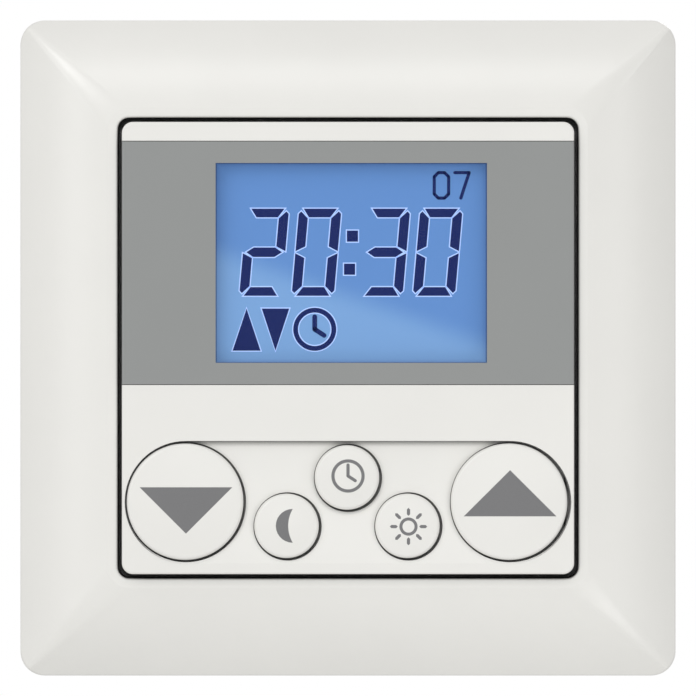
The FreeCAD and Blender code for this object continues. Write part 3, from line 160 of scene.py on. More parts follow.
# ---------------------------------------------------------------- materials
# In the functions below, gloss is the middle of a surface's roughness.
PLASTIC_IOR = 1.5
FLOW_SIZE = 14 * MM           # mottling that the plastic's flow leaves
PLATING_CLOUD = 5 * MM
TRACK_PITCH = 3.2 * MM
WEAVE_SIZE = 0.5 * MM
BAND_PITCH = 2.5 * MM
PANE_IOR = 1.2                # low, so that reflections hide little of the display
PANE_RIPPLE = 6 * MM
DIFFUSER_GRAIN = 0.12 * MM
MESH_GRAIN = 0.09 * MM


def moulded(name, colour, gloss, variation=0.012, texture=0.25 * MM, depth=0.002 * MM, reach=0.0):
    """Injection-moulded plastic: faint flow mottling, and the fine texture of the mould's surface; a reach
    above zero paints shade into gaps and under edges.
    """
    mat, tree, shader = new_material(name)
    vector = object_coords(tree)
    wide = noise(tree, vector, FLOW_SIZE, 3.0)
    fine = noise(tree, vector, texture, 3.0, 0.6)
    tone = ramp(tree, wide, [(0.3, shade(colour, 1 - variation)), (0.7, shade(colour, 1 + variation))])
    # Painted shade: the colour darkens in gaps and under edges, out to reach.
    if reach:
        tone = painted_gap_shade(tree, tone, reach)
    tree.links.new(tone, shader.inputs["Base Color"])
    tree.links.new(remap(tree, fine, gloss - 0.05, gloss + 0.05), shader.inputs["Roughness"])
    shader.inputs["IOR"].default_value = PLASTIC_IOR
    bump(tree, shader, [(wide, depth * 2), (fine, depth)])
    return mat


def metal(name, colour, gloss, grain=(1.0, 1.0, 1.0), grain_size=0.12 * MM, depth=0.003 * MM, variation=0.06):
    """Bare or plated metal with a rolled or turned grain and slightly uneven plating."""
    mat, tree, shader = new_material(name)
    along = object_coords(tree, grain)
    even = object_coords(tree)
    lines = noise(tree, along, grain_size, 4.0, 0.65)
    cloud = noise(tree, even, PLATING_CLOUD, 3.0)
    tone = ramp(tree, cloud, [(0.25, shade(colour, 1 - variation)), (0.75, shade(colour, 1 + variation))])
    tree.links.new(tone, shader.inputs["Base Color"])
    tree.links.new(remap(tree, lines, gloss - 0.08, gloss + 0.1), shader.inputs["Roughness"])
    shader.inputs["Metallic"].default_value = 1.0
    bump(tree, shader, [(lines, depth)])
    return mat


def circuit_board(name, resist, copper):
    """Solder resist over copper tracks, which show as a lighter green and stand slightly proud."""
    mat, tree, shader = new_material(name)
    vector = object_coords(tree)
    cells = tree.nodes.new("ShaderNodeTexVoronoi")
    cells.feature = "DISTANCE_TO_EDGE"
    cells.inputs["Scale"].default_value = 1 / TRACK_PITCH
    cells.inputs["Randomness"].default_value = 0.55
    tree.links.new(vector, cells.inputs["Vector"])
    edge = tree.nodes.new("ShaderNodeValToRGB")
    edge.color_ramp.elements[0].position = 0.05
    edge.color_ramp.elements[1].position = 0.09
    tree.links.new(cells.outputs["Distance"], edge.inputs["Fac"])
    tone = ramp(tree, edge.outputs["Color"], [(0.0, copper), (1.0, resist)])
    weave = noise(tree, object_coords(tree, (1.0, 1.0, 0.3)), WEAVE_SIZE, 2.0)
    tree.links.new(tone, shader.inputs["Base Color"])
    tree.links.new(remap(tree, weave, 0.22, 0.34), shader.inputs["Roughness"])
    bump(tree, shader, [(edge.outputs["Color"], -0.02 * MM), (weave, 0.003 * MM)])
    return mat


def banded_rubber(name):
    """Contact strip: alternate conducting and insulating bands across its length."""
    mat, tree, shader = new_material(name)
    bands = tree.nodes.new("ShaderNodeTexWave")
    bands.bands_direction = "X"
    bands.inputs["Scale"].default_value = 1 / BAND_PITCH
    bands.inputs["Distortion"].default_value = 0.4
    tree.links.new(object_coords(tree), bands.inputs["Vector"])
    tone = ramp(tree, bands.outputs["Fac"], [(0.45, (0.02, 0.02, 0.022)), (0.55, (0.28, 0.28, 0.29))])
    tree.links.new(tone, shader.inputs["Base Color"])
    shader.inputs["Roughness"].default_value = 0.6
    bump(tree, shader, [(noise(tree, object_coords(tree), 0.2 * MM), 0.01 * MM)])
    return mat


def clear_pane(name, tint, gloss):
    """Thin clear sheet: see-through, and reflecting by the angle on faces that are turned to the eye."""
    mat = bpy.data.materials.new(name)
    mat.use_nodes = True
    tree = mat.node_tree
    tree.nodes.remove(tree.nodes["Principled BSDF"])
    through = tree.nodes.new("ShaderNodeBsdfTransparent")
    through.inputs["Color"].default_value = (*tint, 1.0)
    mirror = tree.nodes.new("ShaderNodeBsdfGlossy")
    mirror.inputs["Roughness"].default_value = gloss
    fresnel = tree.nodes.new("ShaderNodeFresnel")
    fresnel.inputs["IOR"].default_value = PANE_IOR
    ripple = tree.nodes.new("ShaderNodeBump")
    ripple.inputs["Distance"].default_value = 0.001 * MM
    tree.links.new(noise(tree, object_coords(tree), PANE_RIPPLE), ripple.inputs["Height"])
    tree.links.new(ripple.outputs["Normal"], mirror.inputs["Normal"])
    side = tree.nodes.new("ShaderNodeNewGeometry")
    share = tree.nodes.new("ShaderNodeMix")
    share.inputs["B"].default_value = 0.0
    tree.links.new(side.outputs["Backfacing"], share.inputs["Factor"])
    tree.links.new(fresnel.outputs["Fac"], share.inputs["A"])
    both = tree.nodes.new("ShaderNodeMixShader")
    tree.links.new(share.outputs["Result"], both.inputs["Fac"])
    tree.links.new(through.outputs["BSDF"], both.inputs[1])
    tree.links.new(mirror.outputs["BSDF"], both.inputs[2])
    tree.links.new(both.outputs["Shader"], tree.nodes["Material Output"].inputs["Surface"])
    return mat


# (place between the display's middle, 0, and the fascia's edge, 1; colour that the painted shade of the
# fascia's edge multiplies the film by there)
PAINTED_EDGE_SHADE = (
    (0.955, (1.0, 1.0, 1.0)),
    (0.985, (0.90, 0.88, 0.92)),
    (0.990, (0.88, 0.86, 0.90)),
    (0.995, (0.40, 0.42, 0.50)),
)


def lit_display(name, low, high, glow, low_z, high_z, lean, middle, half_size):
    """Backlit film: one colour below and another above a soft leaning edge, and a narrow margin of painted
    shade along the fascia's edge.
    """
    mat, tree, shader = new_material(name)
    coords = tree.nodes.new("ShaderNodeTexCoord")
    mapping = tree.nodes.new("ShaderNodeMapping")
    mapping.vector_type = "TEXTURE"
    mapping.inputs["Location"].default_value = (middle.x, middle.y, low_z)
    mapping.inputs["Rotation"].default_value = (0.0, math.radians(lean), 0.0)
    tree.links.new(coords.outputs["Object"], mapping.inputs["Vector"])
    split = tree.nodes.new("ShaderNodeSeparateXYZ")
    tree.links.new(mapping.outputs["Vector"], split.inputs["Vector"])
    rise = tree.nodes.new("ShaderNodeMapRange")
    rise.interpolation_type = "SMOOTHSTEP"
    rise.inputs["From Max"].default_value = high_z - low_z
    tree.links.new(split.outputs["Z"], rise.inputs["Value"])
    tone = ramp(tree, rise.outputs["Result"], [(0.0, low), (1.0, high)])

    place = tree.nodes.new("ShaderNodeMapping")
    place.vector_type = "TEXTURE"
    place.inputs["Location"].default_value = middle
    place.inputs["Scale"].default_value = (half_size.x, 1.0, half_size.z)
    tree.links.new(coords.outputs["Object"], place.inputs["Vector"])
    sides = tree.nodes.new("ShaderNodeVectorMath")
    sides.operation = "ABSOLUTE"
    tree.links.new(place.outputs["Vector"], sides.inputs[0])
    axes = tree.nodes.new("ShaderNodeSeparateXYZ")
    tree.links.new(sides.outputs["Vector"], axes.inputs["Vector"])
    nearest = tree.nodes.new("ShaderNodeMath")
    nearest.operation = "MAXIMUM"
    tree.links.new(axes.outputs["X"], nearest.inputs[0])
    tree.links.new(axes.outputs["Z"], nearest.inputs[1])
    # Painted shade: the film darkens in a narrow band along the fascia's edge.
    shown = multiplied(tree, tone, ramp(tree, nearest.outputs["Value"], PAINTED_EDGE_SHADE))
    tree.links.new(shown, shader.inputs["Base Color"])
    tree.links.new(shown, shader.inputs["Emission Color"])
    shader.inputs["Emission Strength"].default_value = glow
    shader.inputs["Specular IOR Level"].default_value = 0.1
    grain = noise(tree, object_coords(tree), DIFFUSER_GRAIN)
    tree.links.new(remap(tree, grain, 0.45, 0.6), shader.inputs["Roughness"])
    bump(tree, shader, [(grain, 0.001 * MM)])
    return mat


def ink(name, colour, glow=0.0, sheen=0.5):
    """Screen-printed ink or a switched segment: an even colour with a faint mesh grain."""
    mat, tree, shader = new_material(name)
    grain = noise(tree, object_coords(tree), MESH_GRAIN, 2.0)
    tone = ramp(tree, grain, [(0.3, shade(colour, 0.96)), (0.7, shade(colour, 1.04))])
    tree.links.new(tone, shader.inputs["Base Color"])
    tree.links.new(remap(tree, grain, 0.45, 0.55), shader.inputs["Roughness"])
    shader.inputs["Specular IOR Level"].default_value = sheen
    if glow:
        tree.links.new(tone, shader.inputs["Emission Color"])
        shader.inputs["Emission Strength"].default_value = glow
    bump(tree, shader, [(grain, 0.001 * MM)])
    return mat


WHITE = (0.805, 0.797, 0.765)
# reach paints shade into the gaps and under the edges of the frame, the shell and the buttons.
COVER = moulded("white_cover", WHITE, 0.30, reach=1.9 * MM)
SHELL = moulded("white_shell", WHITE, 0.30, reach=0.8 * MM)
CAP = moulded("white_button", (0.815, 0.807, 0.775), 0.34, texture=0.2 * MM, reach=0.5 * MM)
FASCIA = moulded("grey_fascia", (0.277, 0.286, 0.282), 0.42, variation=0.01, texture=0.15 * MM)
HOLDER = moulded("white_holder", (0.78, 0.78, 0.76), 0.5)
TRAY = moulded("tray_grey", (0.50, 0.51, 0.51), 0.5, texture=0.35 * MM, depth=0.006 * MM)
UNIT = moulded("unit_grey", (0.19, 0.20, 0.21), 0.48, variation=0.05, texture=0.4 * MM, depth=0.012 * MM)
BLACK = moulded("component_black", (0.022, 0.022, 0.024), 0.42, variation=0.1)
KNOB = moulded("plunger_white", (0.70, 0.70, 0.68), 0.4)
LED = moulded("led_body", (0.85, 0.82, 0.62), 0.25)
RELAY = moulded("relay_blue", (0.035, 0.12, 0.34), 0.28, variation=0.04)
FILM_BOX = moulded("film_yellow", (0.72, 0.52, 0.05), 0.3, variation=0.04)
SLEEVE = moulded("can_sleeve", (0.025, 0.035, 0.07), 0.22, variation=0.06)
LACQUER = moulded("lacquer_blue", (0.04, 0.16, 0.45), 0.18, texture=0.8 * MM, depth=0.02 * MM)
TERMINAL = moulded(
    "terminal_grey", (0.27, 0.29, 0.30), 0.45, variation=0.03, texture=0.3 * MM, depth=0.006 * MM
)
ZINC = metal("zinc_plate", (0.66, 0.67, 0.65), 0.36, grain=(0.06, 1.0, 1.0))
SCREW = metal("steel_screw", (0.62, 0.62, 0.60), 0.28, grain=(1.0, 0.3, 1.0))
CLAMP_SCREW = metal("terminal_steel", (0.64, 0.64, 0.62), 0.26, grain=(1.0, 0.3, 1.0))
TIN = metal("tinned_metal", (0.74, 0.74, 0.73), 0.22)
CAN = metal("cell_can", (0.72, 0.72, 0.70), 0.25, grain=(1.0, 0.2, 1.0))
GOLD = metal("gold_pins", (0.85, 0.63, 0.26), 0.22, grain=(1.0, 0.15, 1.0))
BRASS = metal("tinned_brass", (0.72, 0.60, 0.34), 0.3, grain=(1.0, 1.0, 0.15))
BOARD = circuit_board("board_green", (0.012, 0.10, 0.035), (0.03, 0.19, 0.07))
RUBBER = banded_rubber("contact_rubber")
PANE = clear_pane("clear_window", (0.985, 0.99, 1.0), 0.08)
GLASS = clear_pane("lcd_glass", (0.97, 0.985, 0.98), 0.03)

WINDOW_LAP = 0.8 * MM         # how far the fascia covers the window's border
BACKLIGHT_GLOW = 0.6
TONE_EDGE_LOW = -6.3 * MM     # where the lower colour begins to change, from the window's middle
TONE_EDGE_HIGH = -2.4 * MM
TONE_EDGE_LEAN = 19.0         # degrees
GUIDE_REACH = 10 * MM
SEGMENT_GLOW = 0.5
SEGMENT_SHEEN = 0.05
window_low, window_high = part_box("display_window")
window_mid = (window_low + window_high) / 2
window_half = (window_high - window_low) / 2 - Vector((WINDOW_LAP, 0.0, WINDOW_LAP))
BACKLIT = lit_display(
    "polarizer_film", (0.137, 0.256, 0.455), (0.086, 0.186, 0.400), BACKLIGHT_GLOW,
    window_mid.z + TONE_EDGE_LOW, window_mid.z + TONE_EDGE_HIGH, TONE_EDGE_LEAN, window_mid, window_half,
)
GUIDE = lit_display(
    "light_guide", (0.4, 0.6, 0.9), (0.25, 0.45, 0.8), BACKLIGHT_GLOW,
    window_mid.z - GUIDE_REACH, window_mid.z + GUIDE_REACH, 0.0, window_mid, window_half * 2,
)
SEGMENT = ink("display_segment", (0.0095, 0.017, 0.085), SEGMENT_GLOW, SEGMENT_SHEEN)
SEGMENT_HALO = ink("display_segment_edge", (0.36, 0.49, 0.79), SEGMENT_GLOW, SEGMENT_SHEEN)
PRINT = ink("button_print", (0.178, 0.178, 0.182))

LOOKS = {
    "white_cover": COVER,
    "white_button": CAP,
    "grey_fascia": FASCIA,
    "clear_window": PANE,
    "lcd_glass": GLASS,
    "polarizer_film": BACKLIT,
    "light_guide": GUIDE,
    "led_body": LED,
    "white_holder": HOLDER,
    "contact_rubber": RUBBER,
    "board_green": BOARD,
    "component_black": BLACK,
    "plunger_white": KNOB,
    "steel_screw": SCREW,
    "zinc_plate": ZINC,
    "tinned_metal": TIN,
    "cell_can": CAN,
    "gold_pins": GOLD,
    "tray_grey": TRAY,
    "unit_grey": UNIT,
    "relay_blue": RELAY,
    "film_yellow": FILM_BOX,
    "can_sleeve": SLEEVE,
    "lacquer_blue": LACQUER,
    "terminal_grey": TERMINAL,
    "tinned_brass": BRASS,
    "terminal_steel": CLAMP_SCREW,
}
for part in frame["record"]["subparts"]:
    node = NODES[part["node"]]
    for material_slot in node.material_slots:
        material_slot.material = LOOKS[part["material_slot"]]
# The shell has narrower gaps than the frame, so the shade painted into its gaps reaches less far.
for material_slot in NODES["front_shell"].material_slots:
    material_slot.material = SHELL


# ---------------------------------------------------------------- flat artwork
SPLIT_ROUNDS = 6
WELD = 0.001 * MM
IN_FRONT_Y = -0.05            # further towards the user than any part of the object


def mesh_piece(name, loops, material, body):
    """Flat piece from closed outlines in x and z, on the plane y = 0 until it is laid on its surface."""
    bm = bmesh.new()
    for loop in loops:
        bm.faces.new([bm.verts.new((x, 0.0, z)) for x, z in loop])
    bmesh.ops.recalc_face_normals(bm, faces=bm.faces)
    mesh = bpy.data.meshes.new(name)
    bm.to_mesh(mesh)
    bm.free()
    piece = bpy.data.objects.new(name, mesh)
    bpy.context.scene.collection.objects.link(piece)
    mesh.materials.append(material)
    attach(piece, body)
    return piece


def lay_on_plane(piece, y, thickness):
    """Puts the artwork at y and gives it thickness towards the user."""
    for vertex in piece.data.vertices:
        vertex.co.y = y
    thicken(piece, thickness)


def lay_on_surface(piece, surface, thickness, step):
    """Splits the artwork finely and drops it on a CAD surface that faces the user."""
    bm = bmesh.new()
    bm.from_mesh(piece.data)
    bmesh.ops.triangulate(bm, faces=bm.faces)
    for _ in range(SPLIT_ROUNDS):
        long_edges = [edge for edge in bm.edges if edge.calc_length() > step]
        if not long_edges:
            break
        bmesh.ops.subdivide_edges(bm, edges=long_edges, cuts=1)
        bmesh.ops.triangulate(bm, faces=bm.faces)
    bmesh.ops.remove_doubles(bm, verts=bm.verts, dist=WELD)
    for vertex in bm.verts:
        start = Vector((vertex.co.x, IN_FRONT_Y, vertex.co.z))
        hit, place, _, _ = surface.ray_cast(start, Vector((0, 1, 0)))
        if hit:
            vertex.co.y = place.y
    bm.to_mesh(piece.data)
    bm.free()
    thicken(piece, thickness)


def thicken(piece, thickness):
    """Turns every face to the user and thickens the artwork that way."""
    for polygon in piece.data.polygons:
        if polygon.normal.y > 0:
            polygon.flip()
    solid = piece.modifiers.new("thickness", "SOLIDIFY")
    solid.thickness = thickness
    solid.offset = 1.0
    solid.use_even_offset = False


def ring(x, z, outer, stroke, steps=48):
    """Annulus as a loop of quads."""
    quads = []
    inner = outer - stroke
    for i in range(steps):
        start, end = (2 * math.pi * k / steps for k in (i, i + 1))
        corners = ((outer, start), (outer, end), (inner, end), (inner, start))
        quads.append([(x + radius * math.cos(t), z + radius * math.sin(t)) for radius, t in corners])
    return quads


def bar(x0, z0, x1, z1, width, round_steps=6):
    """Straight stroke with round ends."""
    angle = math.atan2(z1 - z0, x1 - x0)
    loop = []
    for cx, cz, turn in ((x1, z1, angle - math.pi / 2), (x0, z0, angle + math.pi / 2)):
        for i in range(round_steps + 1):
            t = turn + math.pi * i / round_steps
            loop.append((cx + width / 2 * math.cos(t), cz + width / 2 * math.sin(t)))
    return loop


HOUR_HAND = 0.52              # length as a share of the ring's radius
HOUR_ANGLE = math.radians(-33)
MOON_INNER_BULGE = 0.27       # share of the moon's width
SUN_RAYS = 8


def clock_face(x, z, outer, stroke, minute_hand):
    """Ring with one hand up and one near four o'clock; minute_hand is a share of the ring's radius."""
    reach = outer * HOUR_HAND
    hands = [
        bar(x, z, x, z + outer * minute_hand, stroke),
        bar(x, z, x + reach * math.cos(HOUR_ANGLE), z + reach * math.sin(HOUR_ANGLE), stroke),
    ]
    return ring(x, z, outer, stroke) + hands


def crescent(x, z, width, height, steps=14):
    """Moon: an outer and an inner arc bulging left, of half a circle or less, that share both horns."""
    arcs = []
    half_chord = height / 2
    for bulge in (width, width * MOON_INNER_BULGE):
        radius = (half_chord**2 + bulge**2) / (2 * bulge)
        half_angle = math.asin(min(1.0, half_chord / radius))
        arc = []
        for i in range(steps + 1):
            t = half_angle * (2 * i / steps - 1)
            arc.append((x + width / 2 - bulge + radius - radius * math.cos(t), z + radius * math.sin(t)))
        arcs.append(arc)
    outer, inner = arcs
    return outer + inner[-2:0:-1]


def sun(x, z, outer, stroke, ray_start, ray_end, ray_width):
    """Ring with short rays round it."""
    rays = []
    for i in range(SUN_RAYS):
        t = 2 * math.pi / SUN_RAYS * i
        out_x, out_z = math.cos(t), math.sin(t)
        start = (x + ray_start * out_x, z + ray_start * out_z)
        end = (x + ray_end * out_x, z + ray_end * out_z)
        rays.append(bar(*start, *end, ray_width, 2))
    return ring(x, z, outer, stroke, 32) + rays


def triangle(x, z_flat, z_tip, half_width):
    """Triangle with a level side at z_flat and a tip at z_tip."""
    return [(x - half_width, z_flat), (x + half_width, z_flat), (x, z_tip)]


# ---------------------------------------------------------------- prints on the buttons
INK_THICKNESS = 0.012 * MM
PRINT_STEP = 0.45 * MM
ARROW_HALF = 5.62 * MM
ARROW_FLAT = 1.7 * MM
ARROW_TIP = 3.9 * MM
DOWN_FLAT_RISE = 0.12 * MM    # the down arrow is printed a little higher than the up arrow turned over
DOWN_TIP_RISE = 0.1 * MM
MOON_SHIFT = (-0.4 * MM, 0.09 * MM)
MOON_SIZE = (2.05 * MM, 4.1 * MM)
CLOCK_RISE = 0.25 * MM
CLOCK_RADIUS = 2.02 * MM
PRINT_STROKE = 0.38 * MM
CLOCK_MINUTE_HAND = 0.66
SUN_RADIUS = 1.1 * MM
SUN_STROKE = 0.36 * MM
SUN_RAY_START = 1.5 * MM
SUN_RAY_END = 2.08 * MM


def button_centre(name):
    """Middle of a button in x and z, where its switch's plunger stands."""
    low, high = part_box(f"plunger_{name}")
    return (low.x + high.x) / 2, (low.z + high.z) / 2


def button_art(name):
    """Outlines of the symbol on a button."""
    x, z = button_centre(name)
    if name == "down":
        return [triangle(x, z + ARROW_FLAT + DOWN_FLAT_RISE, z - ARROW_TIP + DOWN_TIP_RISE, ARROW_HALF)]
    if name == "up":
        return [triangle(x, z - ARROW_FLAT, z + ARROW_TIP, ARROW_HALF)]
    if name == "night":
        return [crescent(x + MOON_SHIFT[0], z + MOON_SHIFT[1], *MOON_SIZE)]
    if name == "clock":
        return clock_face(x, z + CLOCK_RISE, CLOCK_RADIUS, PRINT_STROKE, CLOCK_MINUTE_HAND)
    return sun(x, z, SUN_RADIUS, SUN_STROKE, SUN_RAY_START, SUN_RAY_END, PRINT_STROKE)


for button, button_body in BUTTON_BODIES.items():
    art = mesh_piece(f"print_{button}", button_art(button), PRINT, button_body)
    lay_on_surface(art, NODES[f"button_{button}"], INK_THICKNESS, PRINT_STEP)


# ---------------------------------------------------------------- figures on the display
# LEAN is how far a point moves to the right for each metre that it rises from its figure's foot.
LEAN = math.tan(math.radians(5))
DIGIT_HEIGHT = 10.6 * MM
DIGIT_WIDTH = 5.15 * MM
DIGIT_PITCH = 6.38 * MM
STROKE = 1.15 * MM
CROSSBAR = 1.05 * MM
CORNER_CUT = 0.42 * MM
UPRIGHT_CUT = (0.7, 0.8, 1.5)   # shares of the cut: x and z of the slant's inner end, z of its outer end
MIDDLE_POINT = 0.7            # how near the middle bar's tips come to the sides, in half strokes
JOINT = 0.13 * MM             # gap between two segments
DIGIT_X = -13.25 * MM
DIGIT_Z = 6.36 * MM
COLON_GAP = 8.37 * MM - DIGIT_PITCH
COLON_SHIFT = -0.28 * MM
COLON_DOT = 1.35 * MM
COLON_HEIGHTS = (0.305, 0.685)  # shares of a figure's height
SEGMENTS_OF = {"0": "abcdef", "2": "abged", "3": "abgcd"}
TIME_SHOWN = "2030"


def segment_shapes():
    """Outlines of the seven segments, upright: a is the top one, then clockwise to f, and g is the middle."""
    top, middle, half_stroke = DIGIT_HEIGHT, DIGIT_HEIGHT / 2, STROKE / 2
    right = DIGIT_WIDTH
    corner = CORNER_CUT + JOINT
    inside = STROKE + JOINT
    point = half_stroke * MIDDLE_POINT
    cut_x, cut_z, cut_side = (CORNER_CUT * share for share in UPRIGHT_CUT)
    shapes = {
        "a": [
            (corner, top), (right - corner, top),
            (right - inside, top - CROSSBAR), (inside, top - CROSSBAR),
        ],
        "d": [(inside, CROSSBAR), (right - inside, CROSSBAR), (right - corner, 0), (corner, 0)],
        "g": [
            (point, middle), (inside, middle + half_stroke), (right - inside, middle + half_stroke),
            (right - point, middle), (right - inside, middle - half_stroke), (inside, middle - half_stroke),
        ],
        "f": [
            (cut_x, top - cut_z), (STROKE, top - CROSSBAR - JOINT), (STROKE, middle + half_stroke + JOINT),
            (0, middle + JOINT), (0, top - cut_side),
        ],
        "e": [
            (0, cut_side), (0, middle - JOINT), (STROKE, middle - half_stroke - JOINT),
            (STROKE, CROSSBAR + JOINT), (cut_x, cut_z),
        ],
    }
    for mirrored, original in (("b", "f"), ("c", "e")):
        shapes[mirrored] = [(right - x, z) for x, z in reversed(shapes[original])]
    return shapes


def digit(left, foot, lit):
    """Outlines of the lit segments of one leaning figure."""
    shapes = segment_shapes()
    return [[(left + x + z * LEAN, foot + z) for x, z in shapes[segment]] for segment in lit]


SHARPEST_CORNER = 0.35        # keeps the moved corner of a narrow tip close to it


def grown(loop, distance):
    """Convex outline moved outwards by distance."""
    area = sum(a[0] * b[1] - b[0] * a[1] for a, b in zip(loop, loop[1:] + loop[:1]))
    points = [Vector(p) for p in (loop if area > 0 else loop[::-1])]
    moved = []
    for i, point in enumerate(points):
        before = (point - points[i - 1]).normalized()
        after = (points[(i + 1) % len(points)] - point).normalized()
        out = Vector((before.y, -before.x)) + Vector((after.y, -after.x))
        out = out / max(SHARPEST_CORNER, out.length_squared / 2)
        moved.append(tuple(point + out * distance))
    return moved


ARROW_ROW = (-0.32 * MM, 4.8 * MM)   # foot and top of the two arrows under the figures
UP_ARROW_X = (-14.05 * MM, -10.65 * MM, -12.35 * MM)    # left, right and tip
DOWN_ARROW_X = (-10.5 * MM, -7.15 * MM, -8.83 * MM)
DAY_STROKE = 0.38 * MM
DAY_SIZE = (1.75 * MM, 3.1 * MM)
DAY_CUT = 0.5 * MM
DAY_GAP = 0.75 * MM
DAY_FOOT = 0.42               # where the seven's foot stands, as a share of its width
DAY_AT = (10.5 * MM, 18.25 * MM)


def figures():
    """Outlines of the time, its colon and the two arrows under it."""
    loops = []
    for i, figure in enumerate(TIME_SHOWN):
        x = DIGIT_X + i * DIGIT_PITCH + (COLON_GAP if i > 1 else 0)
        loops += digit(x, DIGIT_Z, SEGMENTS_OF[figure])
    for share in COLON_HEIGHTS:
        rise = DIGIT_HEIGHT * share
        left = DIGIT_X + 2 * DIGIT_PITCH + COLON_SHIFT + rise * LEAN
        low = DIGIT_Z + rise - COLON_DOT / 2
        right, high = left + COLON_DOT, low + COLON_DOT
        loops.append([(left, low), (right, low), (right, high), (left, high)])
    foot, top = ARROW_ROW
    for (left, right, tip), flat_z, tip_z in ((UP_ARROW_X, foot, top), (DOWN_ARROW_X, top, foot)):
        loops.append([(left, flat_z), (right, flat_z), (tip, tip_z)])
    return loops


def day_number():
    """Weekday as the two plain stroked figures 0 and 7."""
    width, height = DAY_SIZE
    left, low = DAY_AT
    right, high = left + width, low + height
    outline = [
        (left, low + DAY_CUT), (left, high - DAY_CUT), (left + DAY_CUT, high), (right - DAY_CUT, high),
        (right, high - DAY_CUT), (right, low + DAY_CUT), (right - DAY_CUT, low), (left + DAY_CUT, low),
    ]
    seven = right + DAY_GAP
    corner = (seven + width, high)
    lines = list(zip(outline, outline[1:] + outline[:1]))
    lines += [((seven, high), corner), (corner, (seven + width * DAY_FOOT, low))]
    return [bar(*start, *end, DAY_STROKE, 4) for start, end in lines]


FIGURE_LAYER = 0.02 * MM
HALO_LIFT = 0.01 * MM
FIGURE_LIFT = 0.04 * MM
HALO = 0.14 * MM
ICON_AT = (-4.05 * MM, 2.28 * MM)
ICON_RADIUS = 2.62 * MM
ICON_STROKE = 0.58 * MM
ICON_MINUTE_HAND = 0.58
polarizer_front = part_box("lcd_front_polarizer")[0].y
figure_loops = figures()
figure_edges = [grown(loop, HALO) for loop in figure_loops]
icon_edge = ring(*ICON_AT, ICON_RADIUS + HALO, ICON_STROKE + 2 * HALO)
icon_loops = clock_face(*ICON_AT, ICON_RADIUS, ICON_STROKE, ICON_MINUTE_HAND)
for piece_name, outlines, look, lift in (
    ("display_figure_edges", figure_edges, SEGMENT_HALO, HALO_LIFT),
    ("display_figures", figure_loops, SEGMENT, FIGURE_LIFT),
    ("display_clock_edge", icon_edge, SEGMENT_HALO, HALO_LIFT),
    ("display_clock_icon", icon_loops, SEGMENT, FIGURE_LIFT),
    ("display_day_number", day_number(), SEGMENT, FIGURE_LIFT),
):
    artwork = mesh_piece(piece_name, outlines, look, "control_unit")
    lay_on_plane(artwork, polarizer_front - lift, FIGURE_LAYER)


# ---------------------------------------------------------------- floor, light and camera
FLOOR_Z = -0.8                # low enough to look at the object from below
FLOOR_RADIUS = 3.0
FLOOR_PATCHES = 0.3
SURROUNDINGS_SEEN = 1.0
SURROUNDINGS_LIGHT = 0.60
# (name, place, side of the square, watts); every light faces the origin
LIGHTS = (
    ("front", (0.0, -1.95, 0.25), 0.25, 1.37),
    ("top", (0.0, -1.3, 1.5), 0.5, 3.2),
    ("left", (-1.5, -1.3, 0.3), 0.5, 3.1),
    ("right", (1.5, -1.3, 0.3), 0.5, 2.15),
    ("upper_left_panel", (-0.46, -0.75, 0.46), 0.28, 1.95),
    ("lower_right_panel", (0.11, -0.18, -0.105), 0.065, 0.043),
    ("back", (0.7, 1.1, 0.9), 0.8, 7.0),
)


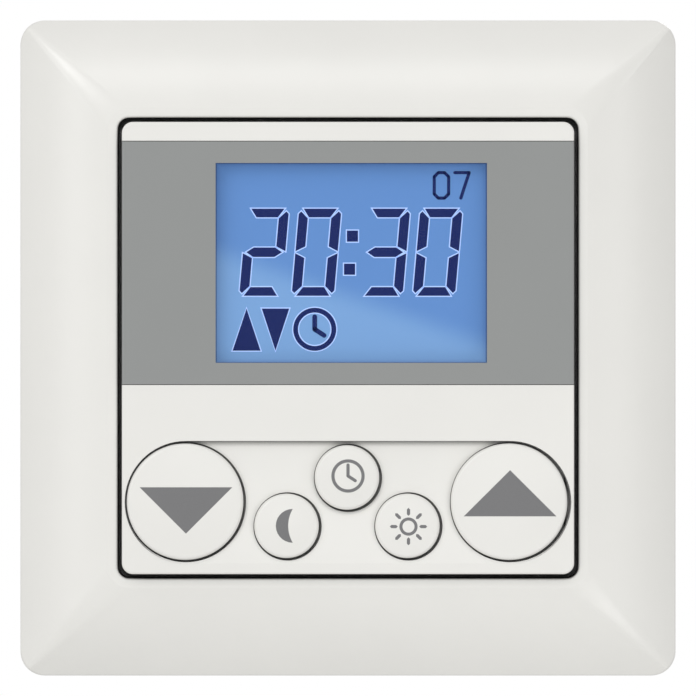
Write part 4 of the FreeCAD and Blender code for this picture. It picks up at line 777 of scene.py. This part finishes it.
def studio_floor():
    """Pale floor well below the object."""
    bm = bmesh.new()
    bmesh.ops.create_circle(bm, cap_ends=True, segments=96, radius=FLOOR_RADIUS)
    mesh = bpy.data.meshes.new("floor")
    bm.to_mesh(mesh)
    bm.free()
    floor = bpy.data.objects.new("floor", mesh)
    floor.location = (0, 0, FLOOR_Z)
    bpy.context.scene.collection.objects.link(floor)
    mat, tree, shader = new_material("floor_paint")
    patches = noise(tree, object_coords(tree), FLOOR_PATCHES)
    tone = ramp(tree, patches, [(0.3, (0.86, 0.86, 0.85)), (0.7, (0.88, 0.88, 0.87))])
    tree.links.new(tone, shader.inputs["Base Color"])
    shader.inputs["Roughness"].default_value = 0.9
    mesh.materials.append(mat)


def surroundings():
    """White surroundings, which look brighter than the light that they give."""
    world = bpy.data.worlds.new("studio")
    bpy.context.scene.world = world
    world.use_nodes = True
    tree = world.node_tree
    seen = tree.nodes["Background"]
    fill = tree.nodes.new("ShaderNodeBackground")
    for background, strength in ((seen, SURROUNDINGS_SEEN), (fill, SURROUNDINGS_LIGHT)):
        background.inputs["Color"].default_value = (1.0, 1.0, 1.0, 1.0)
        background.inputs["Strength"].default_value = strength
    path = tree.nodes.new("ShaderNodeLightPath")
    both = tree.nodes.new("ShaderNodeMixShader")
    tree.links.new(path.outputs["Is Camera Ray"], both.inputs["Fac"])
    tree.links.new(fill.outputs["Background"], both.inputs[1])
    tree.links.new(seen.outputs["Background"], both.inputs[2])
    tree.links.new(both.outputs["Shader"], tree.nodes["World Output"].inputs["Surface"])


def area_light(name, place, size, power):
    """Square light that faces the origin."""
    light = bpy.data.lights.new(name, "AREA")
    light.shape = "SQUARE"
    light.size = size
    light.energy = power
    holder = bpy.data.objects.new(name, light)
    holder.location = place
    holder.rotation_mode = "QUATERNION"
    holder.rotation_quaternion = (-Vector(place)).to_track_quat("-Z", "Y")
    bpy.context.scene.collection.objects.link(holder)


CAMERA_DISTANCE = 1.5
VIEW_WIDTH = 85.26 * MM       # width seen at the wall's plane
SENSOR_WIDTH = 36.0


def camera():
    """Camera square in front of the object, far enough away for a flat view."""
    data = bpy.data.cameras.new("camera")
    data.sensor_width = SENSOR_WIDTH
    data.lens = data.sensor_width * CAMERA_DISTANCE / VIEW_WIDTH
    data.clip_start = 0.05
    data.clip_end = 50.0
    holder = bpy.data.objects.new("camera", data)
    holder.location = (0, -CAMERA_DISTANCE, 0)
    holder.rotation_euler = (math.radians(90), 0, 0)
    bpy.context.scene.collection.objects.link(holder)
    bpy.context.scene.camera = holder


studio_floor()
surroundings()
for lamp in LIGHTS:
    area_light(*lamp)
camera()
bpy.context.scene.view_settings.view_transform = "Standard"
